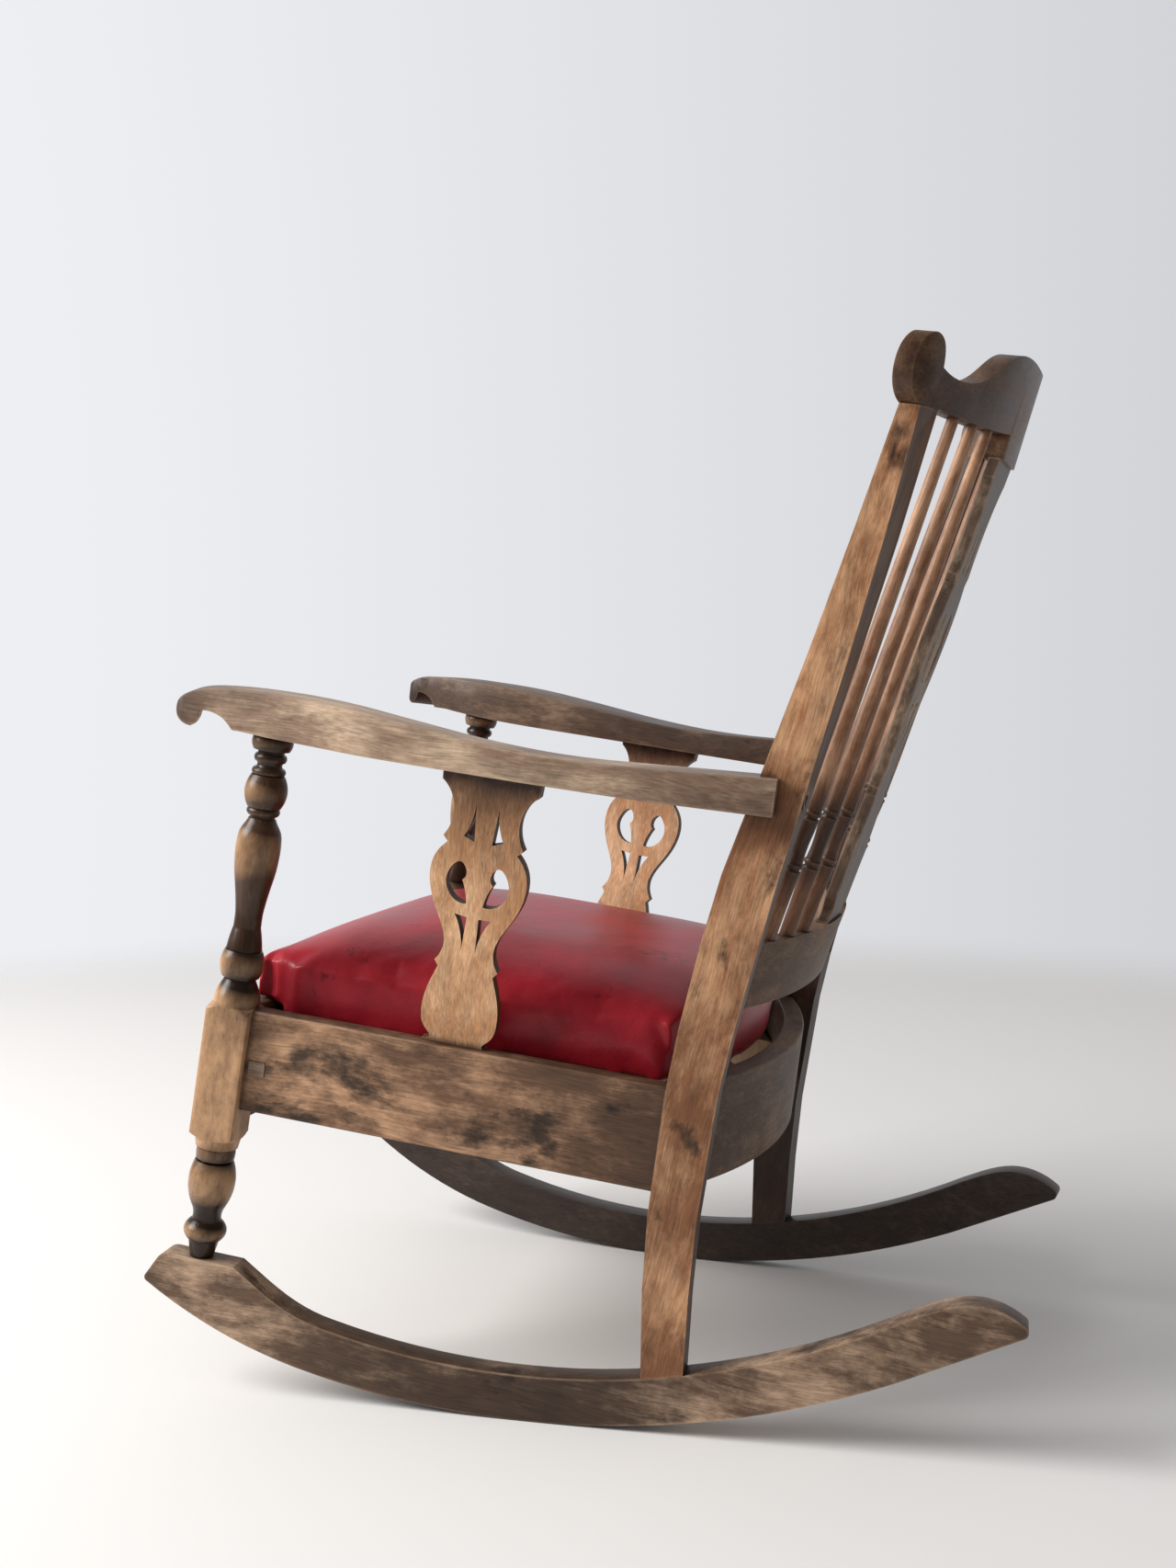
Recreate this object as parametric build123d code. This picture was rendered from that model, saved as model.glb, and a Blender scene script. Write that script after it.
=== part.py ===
from build123d import *
from math import asin, atan, cos, degrees, radians, sin, sqrt, tan
import os

# Rocking chair with turned front legs, shaped arms, a bowed spindle back and a loose cushion.
# Millimetres. It is laid out in a workshop frame: +X is the sitter's left, +Y the back, +Z up,
# the seat rails level, Y = 0 near the foot of the back posts, Z = 0 near the rocker's underside
# there. stand_on_floor() then leans everything back, as the chair rests, and puts the origin on
# the floor, midway between the two rockers' contact lines.

# Whole chair
lean = 7.4                      # degrees that the seat falls to the rear when the chair rests
side_toe = 4.6                  # degrees that each side frame closes towards the rear
side_mid_x = 237.4              # middle of a side frame at Y = 0
frame_thick = 27.0              # thickness of the rockers and back posts
fit = 0.15                      # clearance of a tenon or dowel in its hole, each side
arris = 2.0                     # worn rounding of the side rails' edges

# Rocker: a band between two arcs, with a pad for the leg and an upturned nose
rocker_radius = 870.0
rocker_depth = (46.0, 43.5, 49.0)   # in front, under the seat and behind the posts
rocker_mid_y = -220.0           # lowest point of the arc, in the workshop frame
rocker_mid_z = -26.0
rocker_front_arc = 7.9          # degrees of the main arc before its lowest point
rocker_rear_arc = 31.9          # and behind it
toe_radius = 480.0              # tighter arc under the front end
rocker_front_y = -505.0
rocker_nose_run = 107.0         # straight run of the underside from the arc to the nose
hump_back = 48.0                # top of the rear hump, before the nose
hump_rise = 16.0                # and above it
pad_z = 67.0                    # flat pad under the front leg
pad_front_y = -488.0
pad_rear_y = -413.0
toe_round = 4.5                 # worn rounding of the toe, of the pad's front corner
pad_round = 13.0                # and of the nose
nose_round = 6.0

# Back post: front and rear edges on the outer face, with the twist that follows the bowed back
post_stations = (               # height, front edge, rear edge, twist across the thickness
    (14.0, -4.0, 31.5, 0.0),
    (60.0, -8.5, 31.0, 0.0),
    (130.0, -16.5, 26.5, 0.0),
    (200.0, -20.5, 24.5, 0.0),
    (320.0, -19.0, 28.5, 0.0),
    (374.0, -15.0, 34.0, 0.0),
    (455.0, -5.5, 45.5, 0.02),
    (520.0, 5.0, 55.0, 0.06),
    (613.0, 27.5, 70.5, 0.15),
    (720.0, 53.0, 88.5, 0.26),
    (830.0, 77.5, 105.0, 0.38),
    (943.0, 101.3, 119.5, 0.50),
)
post_tenon = 9.0                # diameter of the tenon up into the crest rail
post_tenon_long = 26.0
foot_tenon = 12.0               # thickness of the tenon down into the rocker
foot_shoulder = 4.0             # depth lost at each edge of it

# Front leg
leg_y = -452.0                  # axis at the pad
leg_rake = 2.0                  # degrees that the leg leans back from the rails' square
block_size = 44.0               # square block that takes the rails
block_z = (188.0, 321.0)
shoulder_long = 9.0             # height of the rounding at each end of the block
leg_tenon = 15.0
leg_tenon_long = 22.0

# Seat rails
rail_thick = 22.0
rail_z = (221.0, 319.0)
front_rail_drop = 15.0          # the front rail hangs lower than the side rails
tenon_thick = 10.0
tenon_long = 20.0
tenon_shoulder = 12.0           # height lost at each edge of a rail's tenon
rear_rail_radius = 560.0        # outer face
rear_rail_y = 49.0              # outer face on the centre line

# Back
lower_rail_radius = 607.0       # mid-surface
lower_rail_y = 66.0             # mid-surface on the centre line, at the top edge
lower_rail_z = (390.0, 455.0)
lower_rail_thick = 18.0
back_slope = 0.225              # rearward run of the back for each mm of height
crest_front_radius = 502.5      # its two faces are arcs about different centres,
crest_rear_radius = 480.5       # so that it thins towards the ends
crest_front_y = 162.5           # faces on the centre line, at crest_seat_z
crest_rear_y = 183.5
crest_slope = 0.155             # it stands steeper than the spindles
crest_seat_z = 943.0            # flat under the crest's ends where the posts stand
crest_drop = 23.0               # lower part in the middle, which takes the splat
spindle_top_x = (100.0, 137.5, 175.0)
spindle_foot_x = (100.0, 137.5, 175.0)
spindle_socket = 14.0
spindle_tenon = 8.0
splat_thick = 11.0
back_splat_half = 56.0
splat_tenon_deep = 10.0

# Arms
arm_z = 576.0                   # underside over the splat
arm_leg_z = 581.0               # and over the front leg
arm_front_y = -530.5
arm_front_skew = 15.0           # degrees that the rolled end runs forward to the inside
arm_hook_x = 27.5               # outer side of the arm's rolled end
arm_hook_skew = 27.0            # degrees that the hollow behind it runs forward to the inside
arm_rear_y = 44.0
arm_top = (                     # (y, z) of the top from the rear end to the front
    (33.0, 611.5),
    (-74.0, 605.0),
    (-157.0, 602.0),
    (-260.0, 608.0),
    (-387.0, 620.0),
    (-440.0, 621.0),
)
arm_splat_y = -223.5            # axis of the splat at the rail
arm_splat_out = 250.0           # middle of the splat's foot, from the chair's centre line
arm_splat_lean = 7.3            # degrees that the splat leans outwards
arm_splat_rake = 3.3            # degrees that it leans back
arm_splat_half = 47.0
bolt_z = 593.0
bolt_shank = 6.0
bolt_head = 13.0

# Seat
panel_thick = 12.0
panel_gap = 2.0
cleat = 18.0
seat_z = 303.0                  # top of the panel, under the cushion
cushion_gap = 2.5
cushion_side_z = 361.0          # top of the cushion's sides
cushion_crown = 41.0            # rise of its middle over the sides
cushion_span = 231.0            # radius of the crown's foot
cushion_middle_y = -208.0
cushion_front_y = -457.0
screw_shank = 4.0
screw_head = 8.0


# ---------------------------------------------------------------- placing and small helpers

def left_side(shape):
    """Place a shape made in a side frame's own axes: X out from its middle, Y back, Z up."""
    return Pos(side_mid_x, 0, 0) * Rot(0, 0, side_toe) * shape


def right_side(shape):
    return mirror(left_side(shape), about=Plane.YZ)


def side_plate(outline, thick):
    """Board standing in the side frame, from an outline of (y, z)."""
    return extrude(Plane.YZ * make_face(outline), thick / 2, both=True)


def block(x, y, z):
    """Box between two values on each axis."""
    size = (x[1] - x[0], y[1] - y[0], z[1] - z[0])
    middle = ((x[0] + x[1]) / 2, (y[0] + y[1]) / 2, (z[0] + z[1]) / 2)
    return Pos(*middle) * Box(*size)


def group(shapes):
    """Like pieces as one node of separate solids."""
    return Compound([solid for shape in shapes for solid in shape.solids()])


def rod(start, end, diameter):
    """Cylinder from one point to another."""
    along = Vector(*end) - Vector(*start)
    return extrude(Plane(origin=start, z_dir=along) * Circle(diameter / 2), along.length)


def turned(features):
    """Turning about Z that stands on Z = 0. A feature is its height and its radii: two make a
    cone, three an arc through the middle one, and more a smooth curve at even steps."""
    pieces = []
    height = 0.0
    tip = (0.0, 0.0)
    for length, radii in features:
        steps = len(radii) - 1
        points = [(r, height + length * i / steps) for i, r in enumerate(radii)]
        if tip != points[0]:
            pieces.append(Line(tip, points[0]))
        if steps == 1:
            pieces.append(Line(*points))
        elif steps == 2:
            pieces.append(ThreePointArc(*points))
        else:
            pieces.append(Spline(*points))
        tip = points[-1]
        height += length
    pieces.append(Line(tip, (0.0, height)))
    pieces.append(Line((0.0, height), (0.0, 0.0)))
    return revolve(Plane.XZ * make_face(pieces), axis=Axis.Z)


# ---------------------------------------------------------------- rockers

def rocker_point(radius, angle):
    """Point (y, z) on an arc about the rocker's centre; the angle is from its lowest point."""
    centre_z = rocker_mid_z + rocker_radius
    return (rocker_mid_y + radius * sin(radians(angle)), centre_z - radius * cos(radians(angle)))


def rocker_outline():
    front_top, middle_top, rear_top = (rocker_radius - depth for depth in rocker_depth)
    front = rocker_point(rocker_radius, -rocker_front_arc)
    rear = rocker_point(rocker_radius, rocker_rear_arc)
    toe_centre_y = front[0] + toe_radius * sin(radians(rocker_front_arc))
    toe_centre_z = front[1] + toe_radius * cos(radians(rocker_front_arc))
    toe_end = asin((toe_centre_y - rocker_front_y) / toe_radius)
    toe_half = (toe_end + radians(rocker_front_arc)) / 2
    toe_tip = (rocker_front_y, toe_centre_z - toe_radius * cos(toe_end))
    toe_mid = (toe_centre_y - toe_radius * sin(toe_half), toe_centre_z - toe_radius * cos(toe_half))
    slope = radians(rocker_rear_arc)
    nose = (rear[0] + rocker_nose_run * cos(slope), rear[1] + rocker_nose_run * sin(slope))
    hump = (nose[0] - hump_back, nose[1] + hump_rise)
    top_rear = rocker_point(rear_top, rocker_rear_arc + 0.6)
    top_front = rocker_point(front_top, -rocker_front_arc + 1.2)
    return [
        ThreePointArc(front, rocker_point(rocker_radius, 12.0), rear),
        Line(rear, nose),
        Spline(nose, hump, top_rear, tangents=[(-0.78, 0.62), (-cos(slope), -sin(slope))]),
        ThreePointArc(top_rear, rocker_point(middle_top, 12.0), top_front),
        Spline(top_front, (pad_rear_y, pad_z), tangents=[(-1.0, 0.12), (-0.86, 0.5)]),
        Line((pad_rear_y, pad_z), (pad_front_y, pad_z)),
        Line((pad_front_y, pad_z), toe_tip),
        ThreePointArc(toe_tip, toe_mid, front),
    ]


def rocker_board():
    """Sawn board of a rocker, its two ends rounded by wear."""
    board = side_plate(rocker_outline(), frame_thick)
    for corner, radius in ((-1, nose_round), (1, pad_round), (0, toe_round)):
        across = board.edges().filter_by(Axis.X).sort_by(Axis.Y)
        board = fillet(across[corner], radius)
    return board


def rocker():
    board = rocker_board()
    board -= leg_foot_tenon(fit)
    board -= post_foot(fit)
    for y, top in rocker_screws_at():
        board -= rocker_screw(y, top, fit)
    return board


def rocker_underside(y):
    return rocker_mid_z + rocker_radius - sqrt(rocker_radius ** 2 - (y - rocker_mid_y) ** 2)


def rocker_screws_at():
    """Places (y, top) of the screws up into the leg and the post."""
    return ((leg_y - 1.0, pad_z + 30.0), (14.0, 80.0))


def rocker_screw(y, top, extra=0.0):
    """Screw from below, its head sunk 6 mm; with extra, the hole that takes it."""
    head_z = rocker_underside(y) + 12.0
    screw = rod((0, y, head_z), (0, y, top), screw_shank + 2 * extra)
    head = rod((0, y, head_z), (0, y, head_z + 3.0), screw_head + 2 * extra)
    if extra:
        head = rod((0, y, rocker_mid_z - 10.0), (0, y, head_z + 3.0), screw_head + 2 * extra)
    return screw + head


# ---------------------------------------------------------------- back posts

def post_section(height, front, rear, twist):
    """Section of the post; twist is the rearward shift of the inner side for each mm across."""
    half = frame_thick / 2
    shift = twist * frame_thick
    corners = [(half, front), (half, rear), (-half, rear + shift), (-half, front + shift)]
    return Pos(0, 0, height) * make_face(Polyline(*corners, close=True))


def post_top_middle():
    height, front, rear, twist = post_stations[-1]
    return (0.0, (front + rear + twist * frame_thick) / 2, height)


def post_top_tenon(extra=0.0):
    x, y, z = post_top_middle()
    up = post_tenon_long
    start = (x, y - 8.0 * back_slope, z - 8.0)
    end = (x, y + (up + 2 * extra) * back_slope, z + up + 2 * extra)
    return rod(start, end, post_tenon + 2 * extra)


def post_foot(extra=0.0):
    """Tenon at the post's foot, let into the rocker from its top; with extra, its mortise."""
    low, front, rear, _ = post_stations[0]
    half = foot_tenon / 2 + extra
    y = (front + foot_shoulder - extra, rear - foot_shoulder + extra)
    return block((-half, half), y, (low - extra, low + 60.0))


def back_post():
    post = loft([post_section(*station) for station in post_stations], ruled=True)
    over_wide = side_plate(rocker_outline(), frame_thick + 6.0)
    return (post - over_wide) + post_foot()


# ---------------------------------------------------------------- front legs

def leg_axis_y(height):
    return leg_y + (height - pad_z) * tan(radians(leg_rake))


def leg_foot_tenon(extra=0.0):
    bottom = pad_z - leg_tenon_long - 2 * extra
    return rod((0, leg_y, bottom), (0, leg_y, pad_z + 4.0), leg_tenon + 2 * extra)


def leg_head_tenon(extra=0.0):
    y = leg_axis_y(arm_leg_z)
    top = arm_leg_z + leg_tenon_long + 2 * extra
    return rod((0, y, arm_leg_z - 4.0), (0, y, top), leg_tenon + 2 * extra)


def leg_in_place(shape):
    return Pos(0, leg_y, pad_z) * Rot(-leg_rake, 0, 0) * shape


def leg_block_span():
    return (block_z[0] - pad_z, block_z[1] - pad_z)


def leg_block(extra=0.0):
    """The square block alone, which the rails meet."""
    low, high = leg_block_span()
    half = block_size / 2 + extra
    return leg_in_place(block((-half, half), (-half, half), (low, high)))


def lower_turning():
    """From the pad up to the block: cone, ring, vase, groove, collar and flange."""
    return [
        (18.0, (11.3, 15.1)),
        (19.0, (16.6, 20.7, 14.6)),
        (13.0, (14.2, 13.8, 15.6)),
        (47.0, (15.6, 22.6, 18.6)),
        (2.5, (15.4, 15.4)),
        (12.5, (18.4, 18.9, 18.4)),
        (9.0, (20.5, 22.0)),
    ]


def upper_turning():
    """From the block up to the last bead, which ends at the arm."""
    return [
        (24.5, (22.0, 21.6, 18.6, 15.0)),
        (2.0, (14.5, 14.5)),
        (26.0, (18.0, 21.0, 17.8)),
        (1.5, (16.2, 16.2)),
        (21.0, (17.0, 15.4, 13.1)),
        (105.5, (13.1, 13.2, 14.8, 17.0, 19.4, 20.8, 21.2, 19.6, 13.0)),
        (3.0, (11.8, 11.8)),
        (7.5, (14.0, 15.9, 14.0)),
        (31.0, (15.8, 20.3, 15.8)),
        (7.0, (14.4, 16.1, 14.4)),
        (6.0, (13.0, 11.7, 13.0)),
        (7.0, (14.2, 15.5, 14.2)),
        (4.0, (12.6, 12.6)),
    ]


def squared_block():
    """Square block whose ends are rounded by the turning, which leaves arched shoulders."""
    low, high = leg_block_span()
    half = block_size / 2
    corner = half * sqrt(2.0) + 1.0
    square = block((-half, half), (-half, half), (low, high))
    round_up = (half, half + 7.5, corner)
    middle = high - low - 2 * shoulder_long
    ends = [(shoulder_long, round_up), (middle, (corner, corner)), (shoulder_long, round_up[::-1])]
    return square & (Pos(0, 0, low) * turned(ends))


def front_leg():
    low, high = leg_block_span()
    below = lower_turning()
    above = upper_turning()
    below_long = sum(length for length, _ in below)
    foot = Pos(0, 0, low - below_long) * turned(below)
    bead_low = high + sum(length for length, _ in above)
    bead_long = arm_leg_z - pad_z - bead_low + 3.0
    above.append((bead_long, (17.2, 19.6, 17.2)))
    head = Pos(0, 0, high) * turned(above)
    leg = leg_in_place(foot + squared_block() + head)
    leg -= block((-60.0, 60.0), (-600.0, -300.0), (0.0, pad_z))
    leg -= arm_blank()
    leg += leg_foot_tenon()
    leg += leg_head_tenon()
    return leg


# ---------------------------------------------------------------- seat rails

def side_rail_tenons(extra=0.0):
    """Bar as long as the side rail and its two tenons."""
    half = tenon_thick / 2 + extra
    z = (rail_z[0] + tenon_shoulder - extra, rail_z[1] - tenon_shoulder + extra)
    front = leg_axis_y(270.0) + block_size / 2 - tenon_long - extra
    rear = post_front_at_rail() + tenon_long + extra
    return block((-half, half), (front, rear), z)


def post_front_at_rail():
    return post_stations[3][1]


def side_rail(post):
    half = rail_thick / 2
    board = block((-half, half), (leg_axis_y(270.0), 0.0), rail_z)
    board -= leg_block()
    board -= post
    board = board.solids().sort_by(SortBy.VOLUME)[-1]
    long_edges = board.edges().filter_by(Axis.Y)
    board = fillet(long_edges, arris)
    board += side_rail_tenons()
    board -= arm_splat_tenon(fit)
    board -= rail_plug(fit)
    return board


def rail_plug(extra=0.0):
    """Square plug over the screw in the front end of the side rail, 1.5 mm proud."""
    x = (rail_thick / 2 - 8.0, rail_thick / 2 + 1.5)
    y = leg_axis_y(264.0) + block_size / 2 + 3.0
    return block(x, (y - extra, y + 17.0 + extra), (257.0 - extra, 271.0 + extra))


def front_rail_z():
    return (rail_z[0] - front_rail_drop, rail_z[1])


def front_rail_y():
    rear = leg_axis_y(270.0) + block_size / 2 - 3.0
    return (rear - rail_thick, rear)


def front_rail_tenons(extra=0.0):
    """Bar as long as the front rail and its tenons into the leg blocks."""
    front, rear = front_rail_y()
    middle = (front + rear) / 2
    half = tenon_thick / 2 + extra
    low, high = front_rail_z()
    reach = block_inner_x() + tenon_long * 0.6 + extra
    z = (low + tenon_shoulder - extra, high - tenon_shoulder + extra)
    return block((-reach, reach), (middle - half, middle + half), z)


def block_inner_x():
    """Inner face of the left leg block, from the chair's centre line."""
    return side_mid_x - leg_axis_y(270.0) * sin(radians(side_toe)) - block_size / 2


def front_rail():
    reach = side_mid_x + 25.0
    board = block((-reach, reach), front_rail_y(), front_rail_z())
    board -= left_side(leg_block())
    board -= right_side(leg_block())
    board = board.solids().sort_by(SortBy.VOLUME)[-1]
    return board + front_rail_tenons()


def bowed_board(front, rear, z, slope):
    """Board between two arcs, each a radius and its y on the centre line at the top edge."""
    height = z[1] - z[0]
    front_radius, front_y = front
    rear_radius, rear_y = rear
    foot = height * slope
    ring = Pos(0, rear_y - foot - rear_radius) * Circle(rear_radius)
    ring -= Pos(0, front_y - foot - front_radius) * Circle(front_radius)
    section = Pos(0, 0, z[0]) * (ring & (Pos(0, rear_y - foot - 70.0) * Rectangle(620.0, 200.0)))
    return extrude(section, amount=height * sqrt(1.0 + slope ** 2), dir=Vector(0, slope, 1).normalized())


def bowed_band(radius, middle_y, thick, z, slope=0.0):
    """Bowed board of even thickness; radius and middle_y are its mid-surface's."""
    front = (radius - thick / 2, middle_y - thick / 2)
    rear = (radius + thick / 2, middle_y + thick / 2)
    return bowed_board(front, rear, z, slope)


def inside(shape, limit):
    """Keep what lies inward of a plane in both side frames, at limit from their middles."""
    keep = block((-700.0, limit), (-900.0, 700.0), (0.0, 1200.0))
    return (shape & left_side(keep)) & right_side(keep)


def between_sides(shape, into=0.0):
    """Keep what lies between the inner faces of the back posts, plus a reach into them."""
    return inside(shape, into - frame_thick / 2)


def rear_rail_band():
    return bowed_band(rear_rail_radius - rail_thick / 2, rear_rail_y - rail_thick / 2, rail_thick, rail_z)


def rear_rail_tenons(extra=0.0):
    """Short tenons, which stop at the side rails' own tenons in the posts."""
    z = (rail_z[0] + tenon_shoulder - extra, rail_z[1] - tenon_shoulder + extra)
    thick = tenon_thick + 2 * extra
    band = bowed_band(rear_rail_radius - rail_thick / 2, rear_rail_y - rail_thick / 2, thick, z)
    return between_sides(band, (frame_thick - tenon_thick) / 2 - 0.5 + extra)


def rear_rail():
    return between_sides(rear_rail_band()) + rear_rail_tenons()


# ---------------------------------------------------------------- back

def lower_rail_band(thick, z):
    middle_y = lower_rail_y - (lower_rail_z[1] - z[1]) * back_slope
    return bowed_band(lower_rail_radius, middle_y, thick, z, back_slope)


def lower_rail_tenons(extra=0.0):
    z = (lower_rail_z[0] + tenon_shoulder - extra, lower_rail_z[1] - tenon_shoulder + extra)
    return between_sides(lower_rail_band(tenon_thick + 2 * extra, z), tenon_long * 0.75 + extra)


def lower_back_rail():
    rail = between_sides(lower_rail_band(lower_rail_thick, lower_rail_z))
    rail += lower_rail_tenons()
    for x_foot, x_top in spindle_places():
        rail -= spindle_rod(x_foot, x_top, spindle_tenon + 2 * fit, fit)
    rail -= back_splat_tenons(fit)
    return rail


def arc_y(radius, y, x):
    """Where an arc that passes (0, y), bowed to the rear, stands at x."""
    return y - radius + sqrt(radius ** 2 - x ** 2)


def back_y(x, z):
    """Middle of the back's thickness, between the lower rail and the crest rail."""
    low = arc_y(lower_rail_radius, lower_rail_y, x)
    high = (arc_y(crest_front_radius, crest_front_y, x) + arc_y(crest_rear_radius, crest_rear_y, x)) / 2
    share = (z - lower_rail_z[1]) / (crest_seat_z - lower_rail_z[1])
    return low + share * (high - low)


def crest_half_face():
    """Right half of the crest rail's elevation in x and z: drop, scrolled end, dip and hump."""
    seat = crest_seat_z
    low = seat - crest_drop
    scroll = [(240.0, seat), (251.0, seat + 9.0), (257.5, seat + 23.0), (259.0, seat + 38.0),
              (255.5, seat + 52.0), (245.0, seat + 61.0), (235.0, seat + 57.5), (228.0, seat + 46.5),
              (225.0, seat + 34.5)]
    hump = [(225.0, seat + 34.5), (210.0, seat + 29.5), (191.0, seat + 28.0), (172.0, seat + 30.5),
            (153.0, seat + 38.0), (137.0, seat + 48.5), (121.0, seat + 59.0), (101.0, seat + 66.5),
            (75.0, seat + 69.5), (40.0, seat + 69.0), (0.0, seat + 68.0)]
    return make_face([
        Line((0.0, low), (50.0, low)),
        ThreePointArc((50.0, low), (57.0, low + 3.0), (60.0, low + 10.0)),
        Line((60.0, low + 10.0), (60.0, seat)),
        Spline((60.0, seat), (125.0, seat - 3.0), (180.0, seat - 2.0), (210.0, seat)),
        Line((210.0, seat), (240.0, seat)),
        Spline(*scroll),
        Spline(*hump),
        Line(hump[-1], (0.0, low)),
    ])


def crest_blank():
    half = crest_half_face()
    outline = half + mirror(half, about=Plane.YZ)
    slab = extrude(Plane.XZ * outline, amount=400.0, both=True)
    z = (crest_seat_z - 30.0, crest_seat_z + 85.0)
    rise = (z[1] - crest_seat_z) * crest_slope
    front = (crest_front_radius, crest_front_y + rise)
    rear = (crest_rear_radius, crest_rear_y + rise)
    return bowed_board(front, rear, z, crest_slope) & slab


def crest_rail():
    rail = crest_blank()
    for side in (left_side, right_side):
        rail -= side(post_top_tenon(fit))
    for x_foot, x_top in spindle_places():
        rail -= spindle_rod(x_foot, x_top, spindle_tenon + 2 * fit, fit)
    rail -= back_splat_tenons(fit)
    return rail


def spindle_places():
    """Foot and head of each spindle across the chair, from its left to its right."""
    places = list(zip(spindle_foot_x, spindle_top_x))
    left = [place for place in reversed(places)]
    right = [(-x_foot, -x_top) for x_foot, x_top in places]
    return left + right


def spindle_line(x_foot, x_top):
    """Ends of a spindle's axis: on the lower rail's top and at the crest's underside."""
    foot = Vector(x_foot, back_y(x_foot, lower_rail_z[1]), lower_rail_z[1])
    head = Vector(x_top, back_y(x_top, crest_seat_z), crest_seat_z)
    return foot, head


def spindle_rod(x_foot, x_top, diameter, extra=0.0):
    """The spindle's tenons as one rod, which runs into both rails."""
    foot, head = spindle_line(x_foot, x_top)
    along = (head - foot).normalized()
    reach = spindle_socket + extra
    start = foot - along * reach
    end = head + along * reach
    return rod((start.X, start.Y, start.Z), (end.X, end.Y, end.Z), diameter)


def spindle_turning(length):
    """Straight foot, two double rings with a vase between them, and a long taper to the top."""
    ring = [(3.5, (8.0, 8.7, 8.3)), (3.0, (7.0, 6.8, 7.0)), (4.5, (8.2, 8.8, 7.9))]
    lower = [(66.0, (7.1, 7.2, 7.3, 7.6, 8.0))]
    vase = [(40.0, (7.4, 6.7, 6.8, 7.5, 8.0))]
    taper_long = length - 66.0 - 40.0 - 22.0
    taper = [(taper_long, (8.0, 8.3, 8.0, 7.7, 7.3, 6.9, 6.5, 6.1, 5.7, 5.4))]
    return turned(lower + ring + vase + ring + taper)


def back_spindle(x_foot, x_top, rails):
    foot, head = spindle_line(x_foot, x_top)
    along = head - foot
    over = 12.0
    body = Plane(origin=foot, z_dir=along) * spindle_turning(along.length + over)
    sole = Plane(origin=foot - along.normalized() * over, z_dir=along)
    body += sole * turned([(over, (7.1, 7.1))])
    for rail in rails:
        body -= rail
    body = body.solids().sort_by(SortBy.VOLUME)[-1]
    return body + spindle_rod(x_foot, x_top, spindle_tenon)


# ---------------------------------------------------------------- splats

def splat_face(height, half):
    """Pierced splat, upright in X and Y from its foot, drawn as shares of its size."""
    def at(across, up):
        return (half * across, height * up)

    edge = [
        Line(at(0, -0.04), at(0.71, -0.04)),
        Line(at(0.71, -0.04), at(0.71, 0)),
        Spline(at(0.71, 0), at(0.55, 0.02), at(0.67, 0.045), at(0.785, 0.11), at(0.74, 0.19), at(0.57, 0.285)),
        Line(at(0.57, 0.285), at(0.655, 0.305)),
        Spline(at(0.655, 0.305), at(0.52, 0.39), at(0.81, 0.51), at(0.985, 0.64), at(0.71, 0.745)),
        Line(at(0.71, 0.745), at(0.82, 0.765)),
        Spline(at(0.82, 0.765), at(0.67, 0.855), at(0.76, 0.92), at(0.98, 0.965)),
        Line(at(0.98, 0.965), at(1.0, 1.04)),
        Line(at(1.0, 1.04), at(0, 1.04)),
        Line(at(0, 1.04), at(0, -0.04)),
    ]
    triangle = [
        Line(at(0.235, 0.903), at(0.18, 0.763)),
        Line(at(0.18, 0.763), at(0.40, 0.777)),
        ThreePointArc(at(0.40, 0.777), at(0.285, 0.83), at(0.235, 0.903)),
    ]
    comma = [
        Spline(at(0.315, 0.619), at(0.25, 0.650), at(0.38, 0.683), at(0.61, 0.640), at(0.60, 0.580),
               at(0.43, 0.543), at(0.17, 0.534)),
        ThreePointArc(at(0.17, 0.534), at(0.225, 0.580), at(0.315, 0.619)),
    ]
    slit = [
        Line(at(0.145, 0.363), at(0.12, 0.486)),
        Line(at(0.12, 0.486), at(0.37, 0.490)),
        ThreePointArc(at(0.37, 0.490), at(0.215, 0.43), at(0.145, 0.363)),
    ]
    face = make_face(edge)
    for hole in (triangle, comma, slit):
        face -= make_face(hole)
    return face + mirror(face, about=Plane.YZ)


def tongue_face(height, half):
    """Tongue through the middle of a splat, which leaves a tenon at each end."""
    low = -splat_tenon_deep
    high = height + splat_tenon_deep
    return Pos(0, (low + high) / 2) * Rectangle(half, high - low)


def arm_splat_height():
    rise = arm_z - rail_z[1]
    return rise / (cos(radians(arm_splat_lean)) * cos(radians(arm_splat_rake)))


def arm_splat_in_place(shape):
    """From X across, Y up and Z through the board, to its place in the side frame."""
    foot_x = arm_splat_out - side_mid_x + arm_splat_y * sin(radians(side_toe))
    upright = Plane.YZ * shape
    return Pos(foot_x, arm_splat_y, rail_z[1]) * Rot(-arm_splat_rake, arm_splat_lean, 0) * upright


def arm_splat_tenon(extra=0.0):
    tongue = tongue_face(arm_splat_height() + 2 * extra, arm_splat_half * 0.6 + 2 * extra)
    board = extrude(Pos(0, -extra) * tongue, amount=splat_thick * 0.32 + extra, both=True)
    return arm_splat_in_place(board)


def arm_splat():
    board = extrude(splat_face(arm_splat_height(), arm_splat_half), amount=splat_thick / 2, both=True)
    board = arm_splat_in_place(board) - block((-90.0, 90.0), (-400.0, 0.0), (0.0, rail_z[1]))
    board -= arm_blank()
    tenons = arm_splat_tenon() - block((-90.0, 90.0), (-400.0, 0.0), (rail_z[1] + 6.0, arm_z - 6.0))
    return board + tenons


def back_splat_height():
    rise = crest_seat_z - crest_drop - lower_rail_z[1]
    return rise * sqrt(1.0 + back_splat_slope() ** 2)


def back_splat_slope():
    rise = crest_seat_z - lower_rail_z[1]
    return (back_y(0, crest_seat_z) - back_y(0, lower_rail_z[1])) / rise


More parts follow.
